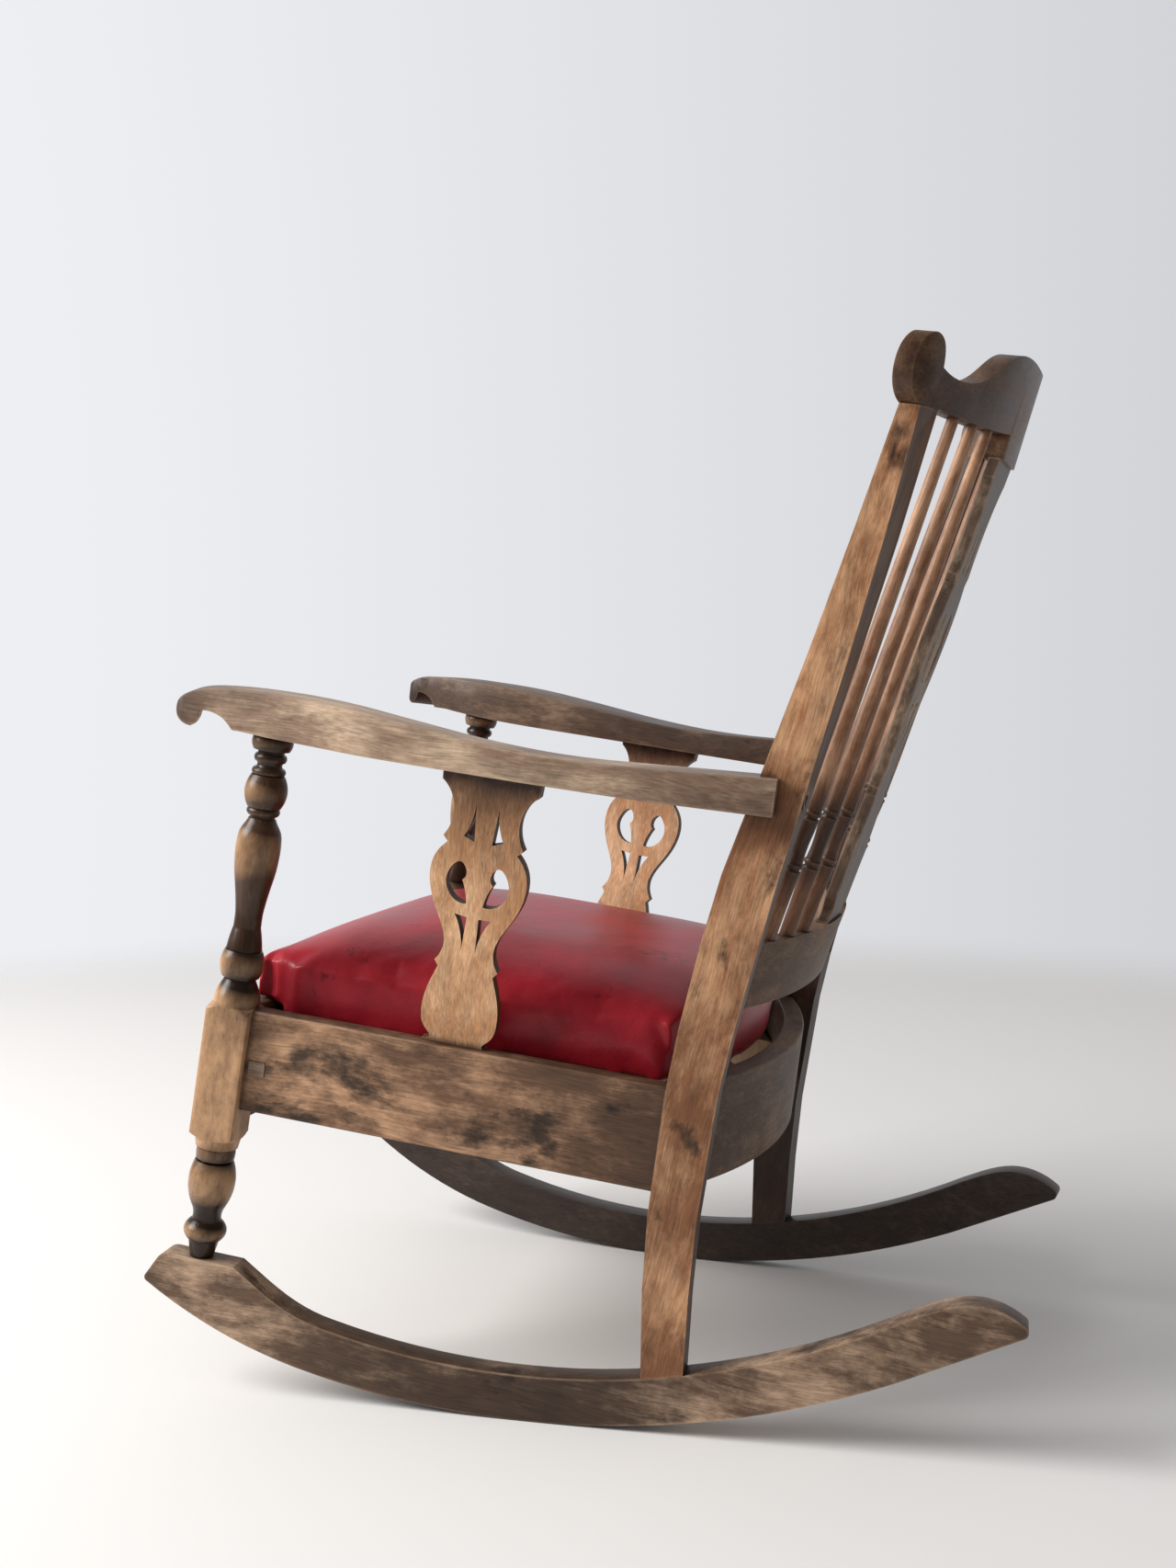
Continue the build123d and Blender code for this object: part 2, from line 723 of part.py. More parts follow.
def back_splat_plane():
    slope = back_splat_slope()
    origin = (0, back_y(0, lower_rail_z[1]), lower_rail_z[1])
    return Plane(origin=origin, x_dir=(1, 0, 0), z_dir=(0, -1, slope))


def back_splat_tenons(extra=0.0):
    tongue = tongue_face(back_splat_height() + 2 * extra, back_splat_half + 2 * extra)
    return back_splat_plane() * extrude(Pos(0, -extra) * tongue, amount=splat_thick * 0.32 + extra, both=True)


def back_splat(rails):
    face = splat_face(back_splat_height(), back_splat_half)
    board = back_splat_plane() * extrude(face, amount=splat_thick / 2, both=True)
    for rail in rails:
        board -= rail
    board = board.solids().sort_by(SortBy.VOLUME)[-1]
    clear = block((-90.0, 90.0), (0.0, 300.0), (lower_rail_z[1] + 6.0, crest_seat_z - crest_drop - 6.0))
    return board + (back_splat_tenons() - clear)


# ---------------------------------------------------------------- arms

def arm_profile():
    """Side view of an arm as (y, z): thick at the ends, thin in the middle, rolled over in front."""
    neck = (-465.0, arm_leg_z + 2.0)
    front = arm_front_y
    roll_foot = (front + 18.0, arm_leg_z + 0.5)
    rear_top = (arm_rear_y, arm_top[0][1])
    return [
        Spline((arm_rear_y, arm_z + 2.0), (-60.0, arm_z), (-250.0, arm_z + 1.0), (-390.0, arm_leg_z - 2.0),
               (-434.0, arm_leg_z), neck),
        Line(neck, roll_foot),
        Spline(roll_foot, (front + 8.0, arm_leg_z + 2.5), (front + 2.0, arm_leg_z + 8.0),
               (front, arm_leg_z + 16.0), (front + 2.0, arm_leg_z + 23.0), (front + 8.0, arm_leg_z + 29.0),
               (front + 18.0, arm_leg_z + 34.0), (-487.0, arm_leg_z + 38.5), *reversed(arm_top)),
        Line(arm_top[0], rear_top),
        Line(rear_top, (arm_rear_y, arm_z + 2.0)),
    ]


def arm_plan():
    """Top view of an arm as (x, y) in the side frame, bowed outwards between leg and post."""
    return [
        Line((-9.0, arm_rear_y), (28.0, arm_rear_y)),
        Spline((28.0, arm_rear_y), (35.0, -60.0), (41.0, -190.0), (38.0, -320.0), (31.5, -430.0),
               (28.5, -485.0), (arm_hook_x, -514.5)),
        ThreePointArc((arm_hook_x, -514.5), (25.2, -522.2), (19.0, -526.4)),
        Line((19.0, -526.4), (-2.0, -532.0)),
        ThreePointArc((-2.0, -532.0), (-9.5, -530.6), (-13.0, -524.0)),
        Spline((-13.0, -524.0), (-17.0, -503.0), (-25.0, -472.0), (-31.0, -430.0), (-25.0, -320.0),
               (-14.0, -190.0), (-10.0, -60.0), (-9.0, arm_rear_y)),
    ]


def arm_hollow():
    """What is cut from under an arm behind its rolled end; the cut runs forward to the inside."""
    neck = (-465.0, arm_leg_z + 2.0)
    crown = (-495.5, arm_leg_z + 16.3)
    roll = (-505.5, arm_leg_z + 1.2)
    below = arm_leg_z - 10.0
    outline = [
        Line((-460.0, below), neck),
        Spline(neck, (-469.5, arm_leg_z + 6.7), (-475.4, arm_leg_z + 11.6), (-480.5, arm_leg_z + 14.0),
               (-487.5, arm_leg_z + 16.0), crown),
        Spline(crown, (-497.0, arm_leg_z + 10.5), (-500.5, arm_leg_z + 4.5), roll),
        Line(roll, (-507.5, below)),
        Line((-507.5, below), (-460.0, below)),
    ]
    face = Pos(arm_hook_x, 0, 0) * (Plane.YZ * make_face(outline))
    skew = radians(arm_hook_skew)
    return extrude(face, amount=90.0, dir=(cos(skew), sin(skew), 0.0), both=True)


def arm_blank():
    skew = radians(arm_front_skew)
    across = (cos(skew), sin(skew), 0.0)
    board = extrude(Plane.YZ * make_face(arm_profile()), amount=80.0, dir=across, both=True)
    plan = extrude(Pos(0, 0, arm_z - 10.0) * make_face(arm_plan()), amount=80.0)
    return (board & plan) - arm_hollow()


def arm_bolt(extra=0.0):
    """Bolt through the post's rear edge into the end of the arm."""
    seat_y = 64.0
    shank = rod((4.0, seat_y, bolt_z), (4.0, -22.0 - extra, bolt_z), bolt_shank + 2 * extra)
    head = rod((4.0, seat_y - extra, bolt_z), (4.0, seat_y + 4.0 + 20.0 * extra, bolt_z), bolt_head + 4 * extra)
    return shank + head


def arm(post):
    board = arm_blank()
    board -= post
    board = board.solids().sort_by(SortBy.VOLUME)[-1]
    board -= leg_head_tenon(fit)
    board -= arm_splat_tenon(fit)
    board -= arm_bolt(fit)
    return board


# ---------------------------------------------------------------- seat

def panel_z():
    return (seat_z - panel_thick, seat_z)


def cleat_z():
    return (seat_z - panel_thick - cleat, seat_z - panel_thick)


def seat_panel():
    front = front_rail_y()[1] + panel_gap
    board = block((-300.0, 300.0), (front, -40.0), panel_z())
    board = inside(board, -rail_thick / 2 - panel_gap)
    for side in (left_side, right_side):
        board -= side(leg_block(panel_gap))
    return drilled(board)


def side_cleat():
    x = (-rail_thick / 2 - cleat, -rail_thick / 2)
    return block(x, (front_rail_y()[1] + cleat + 3.0, -66.0), cleat_z())


def front_cleat():
    rear = front_rail_y()[1]
    bar = block((-300.0, 300.0), (rear, rear + cleat), cleat_z())
    bar = inside(bar, -rail_thick / 2 - cleat - 1.0)
    return drilled(bar)


def rear_cleat():
    bar = block((-300.0, 300.0), (-62.0, -62.0 + cleat), cleat_z())
    return drilled(inside(bar, -rail_thick / 2))


def panel_screws_at():
    front = front_rail_y()[1] + cleat / 2
    rear = -62.0 + cleat / 2
    return [(x, y) for y in (front, rear) for x in (-170.0, 0.0, 170.0)]


def panel_screw(x, y, extra=0.0):
    top = seat_z - 0.5
    shank = rod((x, y, top), (x, y, top - 24.0 - extra), screw_shank + 2 * extra)
    head = rod((x, y, top - 3.0), (x, y, top + extra * 6.0), screw_head + 2 * extra)
    return shank + head


def drilled(bar):
    for x, y in panel_screws_at():
        bar -= panel_screw(x, y, fit)
    return bar


def front_corner_block():
    """Glue block in the corner of the side rail and the leg."""
    y = front_rail_y()[1] - 4.0
    x = -rail_thick / 2
    corner = Polyline((x, y), (x - 40.0, y), (x, y + 40.0), close=True)
    return extrude(Pos(0, 0, 228.0) * make_face(corner), amount=42.0)


def rear_corner_block():
    """Glue block in the corner of the side rail and the rear rail."""
    x = -rail_thick / 2
    corner = Polyline((x, -22.0), (x, -60.0), (x - 34.0, -22.0), (x - 34.0, -4.0), (x, -4.0), close=True)
    return extrude(Pos(0, 0, 228.0) * make_face(corner), amount=42.0)


def cushion_plan(front_y, front_half):
    """Plan of the cushion: it narrows to the back and follows the bowed rear rail."""
    centre_y = rear_rail_y - rear_rail_radius
    radius = rear_rail_radius - rail_thick - cushion_gap
    rear_half = 219.0
    rear_corner = (rear_half, centre_y + sqrt(radius ** 2 - rear_half ** 2))
    side_rear = (rear_half + 2.5, rear_corner[1] - 6.0)
    side_front = (front_half + 8.0, -404.0)
    left = [
        Line((0, front_y), (front_half, front_y)),
        Line((front_half, front_y), (front_half, -418.0)),
        Line((front_half, -418.0), side_front),
        Line(side_front, side_rear),
        Line(side_rear, rear_corner),
        ThreePointArc(rear_corner, rear_arc_middle(centre_y, radius, rear_half), (0, centre_y + radius)),
        Line((0, centre_y + radius), (0, front_y)),
    ]
    half = make_face(left)
    return half + mirror(half, about=Plane.YZ)


def rear_arc_middle(centre_y, radius, half):
    turn = asin(half / radius) / 2
    return (radius * sin(turn), centre_y + radius * cos(turn))


def cushion():
    low_plan = cushion_plan(front_rail_y()[1] + cushion_gap, 245.5)
    low = extrude(Pos(0, 0, seat_z + 0.3) * low_plan, amount=rail_z[1] + 1.0 - seat_z)
    top_plan = cushion_plan(cushion_front_y, 245.5)
    top_low = rail_z[1] + 0.5
    top = extrude(Pos(0, 0, top_low) * top_plan, amount=cushion_side_z - top_low)
    return low + top + Pos(0, cushion_middle_y, cushion_side_z - 10.0) * cushion_dome()


def cushion_dome():
    """Round crown: steep at its foot and nearly flat over the middle, on a base 10 mm thick."""
    crown_radii = (cushion_span, cushion_span * 0.9, cushion_span * 0.7, cushion_span * 0.42, 0.0)
    crown_shares = (0.0, 0.36, 0.76, 0.96, 1.0)
    curve = [(r, 10.0 + cushion_crown * share) for r, share in zip(crown_radii, crown_shares)]
    half = make_face([
        Line((0.0, 0.0), (cushion_span, 0.0)),
        Line((cushion_span, 0.0), curve[0]),
        Spline(*curve),
        Line(curve[-1], (0.0, 0.0)),
    ])
    return revolve(Plane.XZ * half, axis=Axis.Z)


# ---------------------------------------------------------------- whole chair

def stand_on_floor(shape):
    """Lean the chair back and set its origin on the floor at the rockers' contact line."""
    slope = atan(tan(radians(lean)) * cos(radians(side_toe)))
    contact_s, contact_z = rocker_point(rocker_radius, degrees(slope))
    contact_y = contact_s * cos(radians(side_toe))
    turn = Rot(-lean, 0, 0)
    floor = (turn * (Pos(0, contact_y, contact_z) * Sphere(0.01))).center()
    return Pos(0, -floor.Y, -floor.Z + edge_drop()) * turn * shape


def edge_drop():
    """The inner bottom edge of a toed rocker lies this much under its middle once it leans."""
    return frame_thick / 2 * sin(radians(side_toe)) * sin(radians(lean))


def build():
    """All nodes in the workshop frame: name to shape."""
    post = back_post()
    parts = {}
    post_cut = post - side_rail_tenons(fit)
    post_cut -= arm_bolt(fit)
    rear_tenons = rear_rail_tenons(fit)
    lower_tenons = lower_rail_tenons(fit)
    leg_cut = front_leg() - side_rail_tenons(fit)
    for y, top in rocker_screws_at():
        leg_cut -= rocker_screw(y, top, fit)
        post_cut -= rocker_screw(y, top, fit)
    front_tenons = front_rail_tenons(fit)
    front_rail_slab = block((-300.0, 300.0), front_rail_y(), front_rail_z())
    bare_rails = [lower_rail_band(lower_rail_thick, lower_rail_z), crest_blank()]
    for name, side in (("left", left_side), ("right", right_side)):
        parts["rocker_" + name] = side(rocker())
        parts["front_leg_" + name] = side(leg_cut) - front_tenons
        parts["back_post_" + name] = (side(post_cut) - rear_tenons) - lower_tenons
        parts["back_post_" + name] += side(post_top_tenon())
        parts["side_rail_" + name] = side(side_rail(post))
        parts["arm_" + name] = side(arm(post))
        parts["arm_splat_" + name] = side(arm_splat())
        parts["side_cleat_" + name] = side(side_cleat())
        front_block = side(front_corner_block() - leg_block()) - front_rail_slab
        parts["front_corner_block_" + name] = front_block
        parts["rear_corner_block_" + name] = side(rear_corner_block()) - rear_rail_band() - side(post)
    parts["front_rail"] = front_rail()
    parts["rear_rail"] = rear_rail()
    parts["lower_back_rail"] = lower_back_rail()
    parts["crest_rail"] = crest_rail()
    for number, (x_foot, x_top) in enumerate(spindle_places(), start=1):
        parts["back_spindle_%d" % number] = back_spindle(x_foot, x_top, bare_rails)
    parts["back_splat"] = back_splat(bare_rails)
    parts["seat_panel"] = seat_panel()
    parts["front_cleat"] = front_cleat()
    parts["rear_cleat"] = rear_cleat()
    parts["cushion"] = cushion()
    both = (left_side, right_side)
    parts["arm_bolts"] = group(side(arm_bolt()) for side in both)
    parts["rail_plugs"] = group(side(rail_plug()) for side in both)
    parts["rocker_screws"] = group(
        side(rocker_screw(y, top)) for side in both for y, top in rocker_screws_at())
    parts["panel_screws"] = group(panel_screw(x, y) for x, y in panel_screws_at())
    return parts


def main():
    os.makedirs("parts", exist_ok=True)
    for name, shape in build().items():
        export_step(stand_on_floor(shape), "parts/%s.step" % name)


if __name__ == "__main__":
    main()
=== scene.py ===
"""Rocking chair in old stained birch: its finishes, its turnings and its stuffed cushion."""
from collections import namedtuple
from math import atan, cos, exp, radians, sin, sqrt, tan

import bmesh
import bpy
from bpy.props import FloatProperty, FloatVectorProperty, PointerProperty
from bpy.types import Operator, Panel, PropertyGroup
from mathutils import Matrix, Vector


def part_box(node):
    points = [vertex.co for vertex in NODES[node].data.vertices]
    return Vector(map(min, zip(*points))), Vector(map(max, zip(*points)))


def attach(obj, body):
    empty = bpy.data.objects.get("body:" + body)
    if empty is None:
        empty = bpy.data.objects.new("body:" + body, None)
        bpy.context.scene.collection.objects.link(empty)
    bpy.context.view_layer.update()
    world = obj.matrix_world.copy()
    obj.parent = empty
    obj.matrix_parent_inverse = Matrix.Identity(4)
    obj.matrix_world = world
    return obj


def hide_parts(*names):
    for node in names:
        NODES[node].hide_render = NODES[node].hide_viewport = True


bl_info = {
    "name": "Worn rocking chair",
    "version": (1, 0, 0),
    "blender": (4, 5, 0),
    "location": "View3D > Sidebar > Rocker",
    "description": "Wood finishes, turned legs and spindles, and a stuffed cushion",
    "category": "Object",
}

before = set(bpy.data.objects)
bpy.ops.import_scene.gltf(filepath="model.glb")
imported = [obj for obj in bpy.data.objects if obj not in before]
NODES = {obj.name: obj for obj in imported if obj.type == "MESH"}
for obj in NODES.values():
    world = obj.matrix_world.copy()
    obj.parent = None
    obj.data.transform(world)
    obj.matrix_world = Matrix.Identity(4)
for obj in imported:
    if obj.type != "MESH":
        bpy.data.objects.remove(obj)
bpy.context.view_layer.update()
MM = 0.001

# The chair is laid out with its seat rails level, then leaned back as it rests. A side frame
# has its own axes: X out from its middle, Y back, Z up. Angles are in degrees.
LEAN = 7.4
SIDE_TOE = 4.6
SIDE_MID_X = 237.4 * MM
ROCKER_RADIUS = 870 * MM
ROCKER_MID_Y = -220 * MM
ROCKER_MID_Z = -26 * MM
FRAME_THICK = 27 * MM
LEG_Y = -452 * MM
LEG_RAKE = 2.0
PAD_Z = 67 * MM
BLOCK_LOW = 121 * MM
BLOCK_HIGH = 254 * MM
BLOCK_HALF = 22 * MM
BLOCK_CORNER = BLOCK_HALF * sqrt(2) + 1 * MM        # the block is spun out to this radius
WORN_CORNER = BLOCK_HALF * sqrt(2) - 1 * MM         # and its corners end up at this one
SHOULDER_LONG = 9 * MM
TURNING_STEP = 1.5              # millimetres between the rings of a leg's turning
SPINDLE_STEP = 2.2


def from_hex(text):
    """Linear colour of an sRGB hex value."""
    channels = [int(text[i:i + 2], 16) / 255 for i in (0, 2, 4)]
    return tuple(c / 12.92 if c <= 0.04045 else ((c + 0.055) / 1.055) ** 2.4 for c in channels)


def standing():
    """From the level layout to the chair as it stands, leaned back on its rockers."""
    slope = atan(tan(radians(LEAN)) * cos(radians(SIDE_TOE)))
    centre_z = ROCKER_MID_Z + ROCKER_RADIUS
    y = (ROCKER_MID_Y + ROCKER_RADIUS * sin(slope)) * cos(radians(SIDE_TOE))
    z = centre_z - ROCKER_RADIUS * cos(slope)
    turn = Matrix.Rotation(-radians(LEAN), 4, "X")
    floor = turn @ Vector((0, y, z))
    edge = FRAME_THICK / 2 * sin(radians(SIDE_TOE)) * sin(radians(LEAN))
    return Matrix.Translation((0, -floor.y, edge - floor.z)) @ turn


CHAIR = standing()
LEFT = CHAIR @ Matrix.Translation((SIDE_MID_X, 0, 0)) @ Matrix.Rotation(radians(SIDE_TOE), 4, "Z")
ACROSS = Matrix.Scale(-1, 4, (1, 0, 0))
SIDES = (("left", LEFT), ("right", ACROSS @ LEFT))


# ------------------------------------------------------------------ what a user would change

def chosen_colour(name, shade, about):
    return FloatVectorProperty(name=name, description=about, subtype="COLOR", size=3, min=0, max=1,
                               default=from_hex(shade))


class RockerColours(PropertyGroup):
    """Colours that a user would change."""
    cushion: chosen_colour("Cushion", "980f20", "Vinyl-coated cloth of the cushion")
    floor: chosen_colour("Floor", "efedea", "Painted floor")
    backdrop: chosen_colour("Backdrop", "eeeff3", "Wall behind the chair")


class RockerSizes(PropertyGroup):
    """Sizes that a user would change, within the model's own box."""
    arris: FloatProperty(name="Worn arris", description="Rounding of the sawn edges",
                         default=1.6 * MM, min=0, unit="LENGTH")
    arm_arris: FloatProperty(name="Arm arris", description="Rounding of the arms' edges",
                             default=4.5 * MM, min=0, unit="LENGTH")
    crest_arris: FloatProperty(name="Crest arris", description="Rounding of the crest's edges",
                               default=2.6 * MM, min=0, unit="LENGTH")
    floor_reach: FloatProperty(name="Floor", description="Radius of the floor before it fades out",
                               default=2.9, min=1, unit="LENGTH")


# ------------------------------------------------------------------ small helpers

def add(tree, kind, inputs=None, **settings):
    """Add a shader node with its settings and its inputs, each a value or a socket to link."""
    node = tree.nodes.new("ShaderNode" + kind)
    for key, value in settings.items():
        setattr(node, key, value)
    for key, value in (inputs or {}).items():
        if isinstance(value, bpy.types.NodeSocket):
            tree.links.new(value, node.inputs[key])
        else:
            node.inputs[key].default_value = value
    return node


def new_material(name):
    material = bpy.data.materials.new(name)
    material.use_nodes = True
    tree = material.node_tree
    tree.nodes.clear()
    return material, tree


def give_material(thing, material):
    thing.data.materials.clear()
    thing.data.materials.append(material)


def link_object(name, data):
    thing = bpy.data.objects.new(name, data)
    bpy.context.scene.collection.objects.link(thing)
    return thing


def turned_to(place, direction, axis, up):
    """Matrix at a place whose axis looks along a direction."""
    return Matrix.Translation(place) @ direction.to_track_quat(axis, up).to_matrix().to_4x4()


def piece_from(bm, name, material, body, node):
    """Close a bmesh into a smooth-shaded piece that replaces a CAD node."""
    bmesh.ops.recalc_face_normals(bm, faces=bm.faces)
    mesh = bpy.data.meshes.new(name)
    bm.to_mesh(mesh)
    bm.free()
    for face in mesh.polygons:
        face.use_smooth = True
    piece = link_object(name, mesh)
    give_material(piece, material)
    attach(piece, body)
    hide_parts(node)
    return piece


def grain_frame(node, direction):
    """Middle of a node, the turn that lays X along its grain, and half its length that way."""
    low, high = (Vector(corner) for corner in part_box(node))
    half = sum(abs(extent * share) for extent, share in zip((high - low) / 2, direction))
    return (low + high) / 2, direction.to_track_quat("X", "Z").to_euler(), half


# ------------------------------------------------------------------ wood

# Old birch whose dark stain has worn off in patches: a thin waxy sheen, pale bare wood on the
# edges and in hands' reach, stain and painted shade in the hollows, soft black blotches and long
# fine grain.
# bare, stained, dark: its three colours. cover: how much stain is left. spots: black blotches.
# wear: pale edges. grime: stain and painted shade in hollows. cut: dark on the board's
# narrow faces. rough: of the stained wood. along: darkness from one end to the other, as (share,
# darkness).
Look = namedtuple("Look", "bare stained dark cover spots wear grime cut rough along")
LOOKS = {
    "rocker": Look("bfa084", "5d4737", "211813", 0.52, 0.8, 0.7, 0.7, 0.0, 0.46, (
        (0, 0.1), (0.04, 0.0), (0.12, 0.0), (0.24, 0.3), (0.36, 0.55), (0.5, 0.65), (0.57, 0.5),
        (0.66, 0.1), (0.9, 0.1), (1, 0.5))),
    # The far rocker: its own darker stain, and painted shade on its inner face.
    "far_rocker_shaded": Look("5b4a3c", "382b25", "171210", 0.6, 0.5, 0.35, 0.7, 0.0, 0.4, (
        (0, 0.2), (0.5, 0.4), (1, 0.1))),
    # The post darkens at about 0.575 of its length with stain at the arm joint and painted shadow
    # under the arm. Its strong darkening of the narrow faces is partly painted shade on its rear
    # face.
    "post": Look("cf9f76", "8c5b3a", "271a13", 0.45, 0.75, 0.4, 0.9, 0.8, 0.42, (
        (0, 0.6), (0.05, 0.4), (0.12, 0.2), (0.3, 0.4), (0.42, 0.15), (0.54, 0.1), (0.575, 0.55),
        (0.61, 0.25), (0.65, 0.0), (0.95, 0.05), (1, 0.5))),
    # The far post: its own darker stain, and painted shade on its inner face.
    "far_post_shaded": Look("64493a", "412f25", "1a1310", 0.55, 0.4, 0.3, 0.8, 0.5, 0.42, (
        (0, 0.4), (0.5, 0.2), (1, 0.3))),
    "side_rail": Look("cfa27d", "6f503b", "1f1611", 0.48, 0.95, 0.5, 0.9, 0.55, 0.46, (
        (0, 0.6), (0.05, 0.3), (0.2, 0.05), (0.4, 0.15), (0.6, 0.25), (0.75, 0.45), (1, 0.65))),
    "front_rail": Look("9f7c60", "5f4737", "221914", 0.5, 0.5, 0.4, 0.8, 0.4, 0.46, (
        (0, 0.4), (0.5, 0.1), (1, 0.4))),
    "rear_rail": Look("957d69", "5f4c40", "271e19", 0.5, 0.4, 0.6, 0.8, 0.0, 0.5, (
        (0, 0.3), (0.5, 0.1), (1, 0.3))),
    "back_rail": Look("8d6f54", "543f2f", "221914", 0.5, 0.5, 0.6, 0.8, 0.0, 0.46, (
        (0, 0.3), (0.5, 0.1), (1, 0.3))),
    "crest": Look("75553b", "3f2a1e", "1c120d", 0.62, 0.4, 0.7, 0.6, 0.0, 0.36, (
        (0, 0.1), (0.5, 0.0), (1, 0.1))),
    "spindle": Look("bd9271", "83593f", "251913", 0.45, 0.35, 0.5, 0.9, 0.0, 0.36, (
        (0, 0.4), (0.12, 0.5), (0.16, 0.8), (0.27, 0.8), (0.34, 0.2), (0.9, 0.1), (1, 0.4))),
    "back_splat": Look("b2977b", "5a473a", "231b16", 0.55, 0.5, 0.75, 0.9, 0.3, 0.44, (
        (0, 0.3), (0.5, 0.1), (1, 0.4))),
    "arm_splat": Look("e0b48b", "b5835a", "321f16", 0.42, 0.15, 0.25, 0.9, 0.9, 0.42, (
        (0, 0.3), (0.08, 0.15), (0.4, 0.0), (0.6, 0.1), (0.76, 0.3), (0.87, 0.7), (0.93, 1.0),
        (1, 1.0))),
    "arm": Look("d0b497", "8f7460", "2b201a", 0.42, 0.45, 0.5, 0.8, 0.0, 0.4, (
        (0, 0.9), (0.04, 0.7), (0.1, 0.35), (0.18, 0.2), (0.28, 0.0), (0.5, 0.0), (0.6, 0.4),
        (0.72, 0.2), (1, 0.4))),
    # The far arm: its own darker stain, and painted shade on its inner face.
    "far_arm_shaded": Look("947a61", "594537", "201713", 0.5, 0.45, 0.5, 0.8, 0.0, 0.4, (
        (0, 0.75), (0.06, 0.4), (0.3, 0.1), (0.5, 0.4), (0.8, 0.3), (1, 0.2))),
    "leg": Look("c79c74", "60432f", "1a110c", 0.5, 0.6, 1.0, 1.0, 0.0, 0.28, (
        (0, 0.85), (0.22, 0.85), (0.25, 0.2), (0.47, 0.25), (0.51, 0.9), (0.7, 0.55),
        (0.85, 0.6), (1, 0.9))),
    "hidden": Look("a88a6c", "8a6d52", "4a382b", 0.3, 0.1, 0.2, 0.8, 0.0, 0.6, (
        (0, 0.1), (1, 0.1))),
}


# Noise patterns: scale along and across the grain, shift, detail and roughness.
PATTERNS = (
    ((6, 110, 110), (0, 0, 0), 3.0, 0.6),           # growth figure: streaks 9 mm by 160 mm
    ((28, 700, 700), (0, 0, 0), 2.0, 0.55),         # fibres, 1.4 mm by 35 mm, coarse so they show
    ((9, 19, 19), (0, 0, 0), 9.0, 0.72),            # patches of stain left, about 60 mm, ragged
    ((15, 28, 28), (3.1, 7.7, 1.9), 6.0, 0.62),     # black blotches, about 30 mm
)
SWAY_SCALE = 6.5
SWAY = (0.0, 0.022, 0.022)          # the grain sways about 5 mm over 150 mm
SEED_STEP = Vector((0.61, 0.37, 0.83))
LEG_SEED, SPINDLE_SEED = 31, 40
FIGURE_SHARE = 0.35                 # how far the patches follow the figure
ENDS_SHARE = 0.28                   # and how much more stain is left where a piece is dark
PATCH_RIM = 0.15                    # softness of the patches' rims
BLOTCH_RIM = 0.2                    # and of the blotches'
RUBBED_EDGE = 3.5 * MM              # width of the pale worn edges
HOLLOW_REACH = 9 * MM               # how far the stain and painted shade spread out of a joint
RELIEF = 0.35 * MM                  # height of the raised grain


def set_stops(ramp, stops):
    """Give a colour ramp its stops, as (share, colour)."""
    elements = ramp.color_ramp.elements
    first, *middle, last = stops
    for element, (share, colour) in ((elements[0], first), (elements[1], last)):
        element.position = share
        element.color = (*colour, 1)
    for share, colour in middle:
        elements.new(share).color = (*colour, 1)


def shading_along(tree, in_piece, half, stops):
    """Darkness along a piece's grain, from one end to the other."""
    apart = add(tree, "SeparateXYZ", {0: in_piece})
    share = add(tree, "MapRange", {"Value": apart.outputs["X"], "From Min": -half,
                                   "From Max": half})
    ramp = add(tree, "ValToRGB", {"Fac": share.outputs[0]})
    set_stops(ramp, [(place, (darkness,) * 3) for place, darkness in stops])
    return ramp.outputs[0]


def grain_patterns(tree, lay, seed):
    """Coordinates in a piece with X along its grain, and the noise patterns that follow it."""
    middle, turn, _ = lay
    place = add(tree, "TexCoord")
    in_piece = add(tree, "Mapping", {"Vector": place.outputs["Object"], "Location": middle,
                                     "Rotation": turn}, vector_type="TEXTURE")
    laid = add(tree, "VectorMath", {0: in_piece.outputs[0], 1: SEED_STEP * seed})
    sway = add(tree, "TexNoise", {"Vector": laid.outputs[0], "Scale": SWAY_SCALE, "Detail": 1.0})
    swayed = add(tree, "VectorMath", {0: sway.outputs["Color"], 1: SWAY, 2: laid.outputs[0]},
                 operation="MULTIPLY_ADD")
    fields = []
    for scale, shift, detail, roughness in PATTERNS:
        scaled = add(tree, "Mapping", {"Vector": swayed.outputs[0], "Scale": scale,
                                       "Location": shift})
        noise = add(tree, "TexNoise", {"Vector": scaled.outputs[0], "Scale": 1.0,
                                       "Detail": detail, "Roughness": roughness})
        fields.append(noise.outputs["Fac"])
    return in_piece.outputs[0], fields


def darkened(tree, look, ends, stain, centre, blotch, board):
    """Share of the dark colour: soft black blotches, dark ends and a board's narrow faces."""
    black_from = 0.73 - 0.27 * look.spots
    black = add(tree, "MapRange", {"Value": blotch, "From Min": black_from,
                                   "From Max": black_from + BLOTCH_RIM, "To Max": 0.9},
                interpolation_type="SMOOTHSTEP")
    # Darkness along the piece, made uneven by the patches.
    uneven = add(tree, "MapRange", {"Value": stain, "From Min": centre - 0.2,
                                    "From Max": centre + 0.3, "To Min": 0.5, "To Max": 1.1})
    clouded = add(tree, "Math", {0: ends, 1: uneven.outputs[0]}, operation="MULTIPLY")
    darkest = add(tree, "Math", {0: black.outputs[0], 1: clouded.outputs[0]}, operation="MAXIMUM")
    if board is not None:
        # The narrow faces took more stain than the broad ones; on the post this darkening is also
        # painted shade on its rear face.
        place = add(tree, "TexCoord")
        facing = add(tree, "VectorMath", {0: place.outputs["Normal"], 1: board},
                     operation="DOT_PRODUCT")
        upright = add(tree, "Math", {0: facing.outputs["Value"]}, operation="ABSOLUTE")
        narrow = add(tree, "MapRange", {"Value": upright.outputs[0], "From Min": 0.93,
                                        "From Max": 0.7, "To Max": look.cut})
        darkest = add(tree, "Math", {0: darkest.outputs[0], 1: narrow.outputs[0]},
                      operation="MAXIMUM")
    return darkest.outputs[0]


